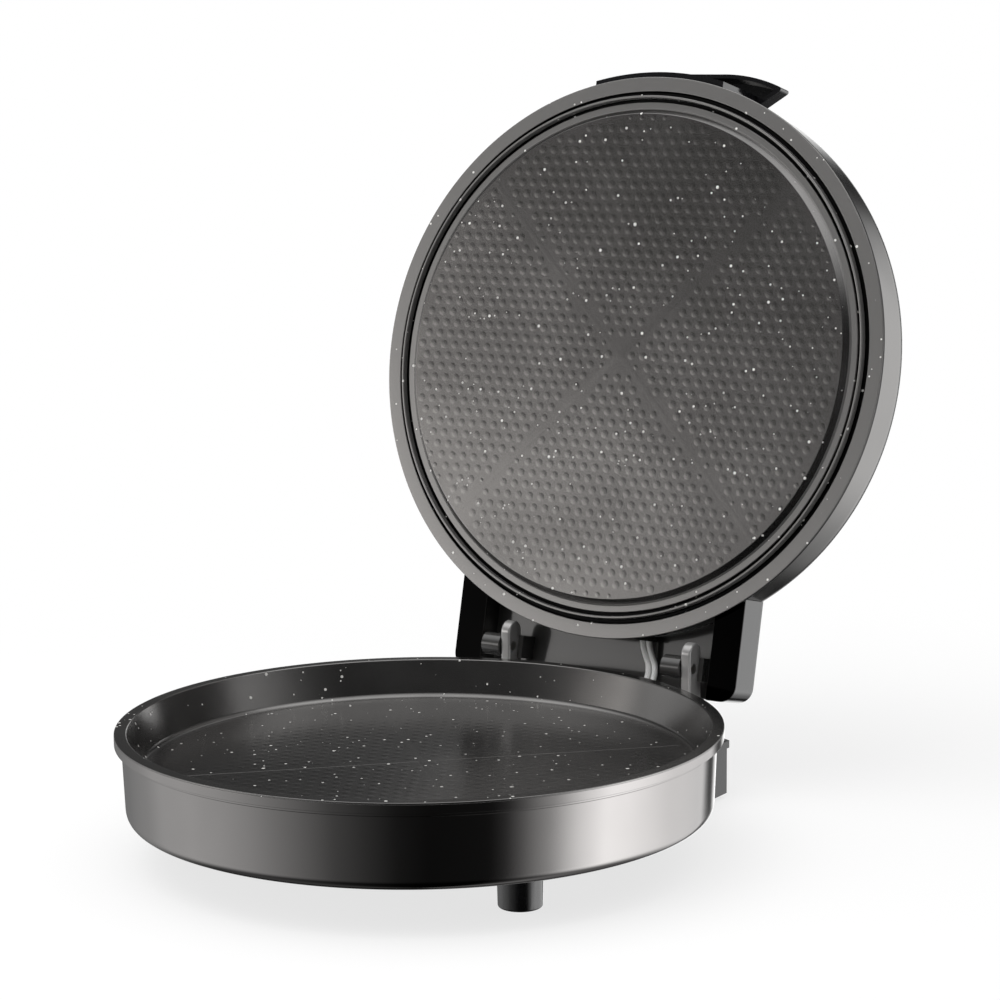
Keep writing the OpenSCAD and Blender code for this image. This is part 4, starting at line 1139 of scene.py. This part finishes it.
@dataclass
class Mouldings(Assembly):
    """Moulded pieces whose corners are rounded, with the rounding in millimetres."""

    bracket: float = 0.9
    cover: float = 0.8
    ears: float = 2.6
    ear_bore: float = 6.0
    ear_foot: float = 34.0
    handle: float = 3.6
    handle_tips: tuple[float, float] = (61.6, 66.9)
    tip_w: float = 0.3
    stand: float = 0.8
    feet: float = 0.5

    def build(self) -> None:
        """Builds the mouldings."""
        axis = Vector((0, self.layout.hinge_y, self.layout.hinge_z))

        def on_ear(middle: Vector) -> bool:
            """Keeps the roundings off the pin's bore and the ear's foot."""
            away = (middle - axis) / MM
            return math.hypot(away.y, away.z) > self.ear_bore and away.z > -self.ear_foot

        def on_tip(middle: Vector) -> bool:
            """Rounds only the two tips of the grip."""
            return any(abs(abs(middle.x) / MM - tip) < self.tip_w for tip in self.handle_tips)

        gloss = FINISHES[Slot.GLOSS]
        legs = BracketGloss(
            "bracket_gloss", (0.002, 0.002, 0.002), gloss.metallic, 0.07,
            grain_depth=0.004, lid=LidPlace(self.layout),
        )
        # Painted reflection: the ears are pale grey metal, standing in for light reflected onto the dark
        # gloss lugs.
        grey = Finish("ear_grey_painted_reflection", (0.45, 0.445, 0.44), 0.5, 0.2, grain_depth=0.01)
        self.ride(softened("hinge_bracket", self.bracket), Body.LID, Slot.GLOSS, legs)
        self.ride(softened("bracket_cover", self.cover), Body.LID, Slot.GLOSS)
        self.ride(softened("handle", self.handle, 5, on_tip), Body.LID, Slot.GLOSS)
        self.ride(softened("hinge_ears", self.ears, 5, on_ear), Body.BASE, Slot.GLOSS, grey)
        self.ride(softened("rear_stand", self.stand), Body.BASE, Slot.PLASTIC)
        self.ride(softened("front_feet", self.feet), Body.BASE, Slot.GLOSS)


@dataclass
class HeaterLeads(Assembly):
    """Two sleeved leads from the base's terminal block to the lid's, about a middle line."""

    space: float = 4.4
    diameter: float = 3.7
    sides: int = 16
    between: int = 5
    # Where the bend starts, at the base, and ends, at the lid: behind and above the hinge's axis
    bend: tuple[tuple[float, float], ...] = ((7, -34), (16, 14))
    line: tuple[Point, ...] = (
        (31, 24.5, 46.4), (31, 22.7, 40), (31, 20.6, 34.5), (31, 18.6, 28), (31, 16.5, 21), (31, 15.1, 14),
        (31.4, 14, 8.5), (33, 14.6, 1), (34.6, 14.9, -4), (35.5, 13.5, -9), (35.5, 11, -14), (35.2, 8.6, -21),
        (35, 7.3, -29), (35, 7, -37), (35, 6.5, -45), (35, 3, -52), (35, -4, -57.5), (35, -14, -60),
        (35, -26, -60.4), (35, -36, -59.6), (35, -42.5, -57), (35, -45.6, -52.5), (35, -46.2, -48.5),
        (35, -47.8, -45.2), (35, -51, -43.4), (35, -55.7, -43),
    )

    def path(self, side: int) -> list[Vector]:
        """Smooth points along one lead.

        Args:
            side: -1 or 1.

        Returns:
            The points, in metres.
        """
        start = Vector((0, self.layout.hinge_y, self.layout.hinge_z))
        knots = [start + Vector((x + side * self.space / 2, y, z)) * MM for x, y, z in self.line]
        points = []
        for i in range(len(knots) - 1):
            a, b, c, d = (knots[max(0, min(len(knots) - 1, i + k))] for k in (-1, 0, 1, 2))
            for k in range(self.between):
                t = k / self.between
                bend = 2 * a - 5 * b + 4 * c - d
                points.append(b + 0.5 * t * (c - a + t * (bend + t * (3 * (b - c) + d - a))))
        return points + [knots[-1]]

    def build(self) -> None:
        """Builds both leads."""
        bm = bmesh.new()
        uv = bm.loops.layers.uv.new("UVMap")
        for side in (-1, 1):
            self.sweep(bm, uv, self.path(side))
        bmesh.ops.recalc_face_normals(bm, faces=bm.faces)
        leads = finish_mesh("sleeved_leads", bm, Matrix.Identity(4), 60)
        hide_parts("heater_leads")
        self.book.put(leads, Slot.SLEEVE)
        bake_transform(leads)

    def sweep(self, bm: Mesh, uv: bmesh.types.BMLayerItem, points: list[Vector]) -> None:
        """Sweeps a round section along the points, with its ends closed.

        Args:
            bm: the mesh to add to.
            uv: the UV layer, across the turn and along the length in metres.
            points: the path.
        """
        rings = []
        length = 0.0
        for i, point in enumerate(points):
            way = (points[min(i + 1, len(points) - 1)] - points[max(i - 1, 0)]).normalized()
            across = (Vector((1, 0, 0)) - way * way.x).normalized()
            turn = Matrix((across, way.cross(across), way)).transposed().to_4x4()
            ring = bmesh.ops.create_circle(bm, segments=self.sides, radius=self.diameter / 2 * MM)["verts"]
            bmesh.ops.transform(bm, matrix=Matrix.Translation(point) @ turn, verts=ring)
            length += (point - points[i - 1]).length if i else 0.0
            rings.append((ring, length))
        for (low, start), (high, end) in zip(rings, rings[1:]):
            for i in range(self.sides):
                k = (i + 1) % self.sides
                face = bm.faces.new((low[i], low[k], high[k], high[i]))
                marks = ((i, start), (i + 1, start), (i + 1, end), (i, end))
                for loop, (turn_step, along) in zip(face.loops, marks):
                    loop[uv].uv = (turn_step / self.sides, along)
        bm.faces.new(rings[0][0])
        bm.faces.new(rings[-1][0])


class SmallPieces(Assembly):
    """CAD nodes that keep their shape and get a finish."""

    KEPT: dict[Slot, tuple[str, ...]] = {
        Slot.HEATER: ("lower_heater", "upper_heater"),
        Slot.ZINC: (
            "heater_clips", "upper_heater_clips", "support_posts", "reflector_studs", "plate_clips",
            "cover_screws", "foot_screws", "stand_screws", "ear_screws", "hinge_pins", "handle_screws",
            "bracket_screws", "bracket_cover_screws",
        ),
        Slot.SHEET: ("lower_reflector", "upper_reflector"),
        Slot.PLASTIC: ("bottom_cover",),
        Slot.RUBBER: (
            "front_foot_pads", "rear_pads", "stand_grommet", "cover_grommet", "lid_grommet", "cord_gland",
        ),
        Slot.CERAMIC: (
            "terminal_block", "lid_terminal", "lower_thermostat", "upper_thermostat", "thermal_fuse",
        ),
        Slot.SLEEVE: ("base_wires", "lid_wires"),
        Slot.LENS: ("indicator_lenses",),
        Slot.LAMP: ("indicator_lamps",),
    }

    def build(self) -> None:
        """Gives each kept node its finish."""
        for slot, names in self.KEPT.items():
            for name in names:
                self.book.put(frame["nodes"][name], slot)
                LOG.info("%s keeps its shape, finish %s", name, slot.value)


# ---- Studio ----


@dataclass
class Studio:
    """Floor, surroundings, lamps and camera."""

    # Azimuth in degrees from the front, towards +X, and brightness of the surroundings there
    panels: tuple[tuple[float, float], ...] = (
        (-180, 0.35), (-176, 0.09), (-170, 0.09), (-165, 0.9), (-157, 1.7), (-150, 0.5), (-143, 0.12),
        (-119, 0.28), (-95, 0.56), (-83, 0.8), (-65, 0.9), (-47, 0.76), (-35, 0.63), (-23, 0.45), (-11, 0.29),
        (1, 0.14), (13, 0.073), (25, 0.023), (37, 0.011), (61, 0.015), (67, 0.06), (73, 0.22), (85, 0.72),
        (97, 1.82), (109, 2.65), (121, 2.5), (133, 2.15), (145, 1.8), (157, 1.6), (169, 1.3), (175, 1.25),
        (180, 0.35),
    )
    panel_scale: float = 3.0
    # Sines of the elevations between which the panels fade upwards and downwards, and what is left of them
    high: tuple[float, float] = (0.1, 0.34)
    high_share: float = 0.12
    low: tuple[float, float] = (-0.75, -0.42)
    low_share: float = 0.12
    # The same of the glow overhead, and its brightness
    top: tuple[float, float] = (0.45, 0.9)
    top_light: float = 1.1
    # A soft box at the left front: its middle, cosines of its outer and inner edge, the sines of elevation
    # between which it starts and fades, what is left of it above, its brightness and its colour
    box_way: Point = (-0.7427, -0.6687, 0.0349)
    box_edge: tuple[float, float] = (0.916, 0.955)
    box_low: tuple[float, float] = (-0.1, 0.03)
    box_high: tuple[float, float] = (0.2, 0.36)
    box_top: float = 0.1
    box_power: float = 1.1
    box_colour: Colour = (1.0, 0.965, 0.935)
    # Half side, grey and roughness of the floor. The distances between which the camera sees it turn white
    floor_size: float = 12.0
    floor_grey: float = 0.93
    floor_roughness: float = 0.9
    floor_white: tuple[float, float, float, float] = (0.3, 0.75, 0.75, 1)
    # Name, place, side in metres and power in watts of each lamp, and the point that they face
    lamps: tuple[tuple[str, Point, float, float], ...] = (
        ("overhead", (-0.3, -0.6, 1.8), 1.6, 16.0),
        ("front_fill", (-0.9, -1.6, 0.9), 1.4, 8.0),
    )
    aim: Point = (0, 0, 0.15)
    sensor: float = 36
    lens: float = 104.08
    eye: Point = (0.8925, -1.37434, 0.45943)
    right: Point = (0.8411, 0.5408, -0.0078)
    up: Point = (-0.0813, 0.1408, 0.9867)
    back: Point = (0.5347, -0.8293, 0.1624)

    def floor(self) -> None:
        """Builds a plain white floor that keeps the shadow near the object."""
        bm = bmesh.new()
        bmesh.ops.create_grid(bm, x_segments=8, y_segments=8, size=self.floor_size)
        floor = finish_mesh("floor", bm, Matrix.Identity(4))
        material = bpy.data.materials.new("floor_white")
        material.use_nodes = True
        nodes = Nodes(material.node_tree)
        shader = material.node_tree.nodes["Principled BSDF"]
        grey = (*(self.floor_grey,) * 3, 1)
        nodes.feed(shader, {"Base Color": grey, "Roughness": self.floor_roughness, "Specular IOR Level": 0.0})
        place = nodes.add("TexCoord").outputs["Object"]
        distance = nodes.add("VectorMath", {0: place}, operation="LENGTH").outputs["Value"]
        away = nodes.ramp(distance, *self.floor_white)
        share = nodes.times(away, nodes.add("LightPath").outputs["Is Camera Ray"])
        glow = nodes.add("Emission", {"Color": (1, 1, 1, 1), "Strength": 1.0})
        mixed = nodes.add("MixShader", {0: share, 1: shader.outputs[0], 2: glow.outputs[0]})
        nodes.tree.links.new(mixed.outputs[0], material.node_tree.nodes["Material Output"].inputs["Surface"])
        floor.data.materials.append(material)
        floor.visible_glossy = False

    def surroundings(self) -> None:
        """Builds the world: soft panels round the object, white to the camera."""
        world = bpy.data.worlds.new("studio")
        bpy.context.scene.world = world
        world.use_nodes = True
        nodes = Nodes(world.node_tree)
        place = nodes.add("TexCoord").outputs["Generated"]
        way = nodes.add("SeparateXYZ", {0: place}).outputs
        turn = nodes.math("ARCTAN2", way[0], nodes.times(way[1], -1.0))
        share = nodes.plus(nodes.math("DIVIDE", turn, math.tau), 0.5)
        ramp = nodes.add("ValToRGB", {0: share})
        stops = ramp.color_ramp.elements
        while len(stops) > 1:
            stops.remove(stops[-1])
        for i, (angle, value) in enumerate(self.panels):
            stop = stops[0] if i == 0 else stops.new(angle / 360 + 0.5)
            stop.position = angle / 360 + 0.5
            stop.color = (*(value / self.panel_scale,) * 3, 1)
        side = nodes.times(ramp.outputs[0], self.panel_scale)
        side = nodes.times(side, nodes.ramp(way[2], *self.high, 1.0, self.high_share))
        side = nodes.times(side, nodes.ramp(way[2], *self.low, self.low_share, 1.0))
        glow = nodes.plus(side, nodes.ramp(way[2], *self.top, 0.0, self.top_light))
        ray = nodes.add("LightPath").outputs
        seen = nodes.math("MAXIMUM", ray["Is Camera Ray"], ray["Is Transmission Ray"])
        strength = nodes.add("Mix", {0: seen, 2: glow, 3: 1.0}, data_type="FLOAT").outputs[0]
        backdrop = world.node_tree.nodes["Background"]
        backdrop.inputs["Color"].default_value = (1, 1, 1, 1)
        nodes.tree.links.new(strength, backdrop.inputs["Strength"])
        near = nodes.add("VectorMath", {0: place, 1: self.box_way}, operation="DOT_PRODUCT").outputs["Value"]
        mask = nodes.times(nodes.ramp(near, *self.box_edge), nodes.ramp(way[2], *self.box_low))
        mask = nodes.times(mask, nodes.ramp(way[2], *self.box_high, 1.0, self.box_top))
        unseen = nodes.math("SUBTRACT", 1.0, seen)
        power = nodes.times(mask, nodes.times(unseen, self.box_power))
        box = nodes.add("Background", {"Color": (*self.box_colour, 1), "Strength": power})
        both = nodes.add("AddShader", {0: backdrop.outputs[0], 1: box.outputs[0]})
        nodes.tree.links.new(both.outputs[0], world.node_tree.nodes["World Output"].inputs["Surface"])

    def lamp(self, name: str, spot: Point, size: float, power: float) -> None:
        """Adds a soft square lamp that faces the object, and that polished surfaces don't show.

        Args:
            name: the lamp's name.
            spot: where it is, in metres.
            size: its side in metres.
            power: its power in watts.
        """
        data = bpy.data.lights.new(name, "AREA")
        data.size = size
        data.energy = power
        lamp = bpy.data.objects.new(name, data)
        bpy.context.scene.collection.objects.link(lamp)
        lamp.location = spot
        lamp.rotation_euler = (Vector(self.aim) - Vector(spot)).to_track_quat("-Z", "Y").to_euler()
        lamp.visible_glossy = False

    def camera(self) -> None:
        """Places the camera."""
        data = bpy.data.cameras.new("camera")
        data.lens = self.lens
        data.sensor_width = self.sensor
        data.sensor_height = self.sensor
        data.sensor_fit = "HORIZONTAL"
        data.clip_end = 100
        camera = bpy.data.objects.new("camera", data)
        bpy.context.scene.collection.objects.link(camera)
        turn = Matrix((self.right, self.up, self.back)).transposed().to_4x4()
        camera.matrix_world = Matrix.Translation(self.eye) @ turn
        bpy.context.scene.camera = camera

    def build(self) -> None:
        """Builds the whole studio."""
        self.floor()
        self.surroundings()
        for lamp in self.lamps:
            self.lamp(*lamp)
        self.camera()
        bpy.context.scene.view_settings.view_transform = "Standard"


def main() -> None:
    """Builds the pieces in order."""
    logging.basicConfig(level=logging.INFO, format="%(relativeCreated)d ms %(name)s: %(message)s")
    layout = read_layout()
    book = FinishBook()
    for assembly in (BaseShell, LowerPlate, LidShell, UpperPlate, Mouldings, HeaterLeads, SmallPieces):
        assembly(layout, book).build()
    Studio().build()


if __name__ == "__main__":
    main()
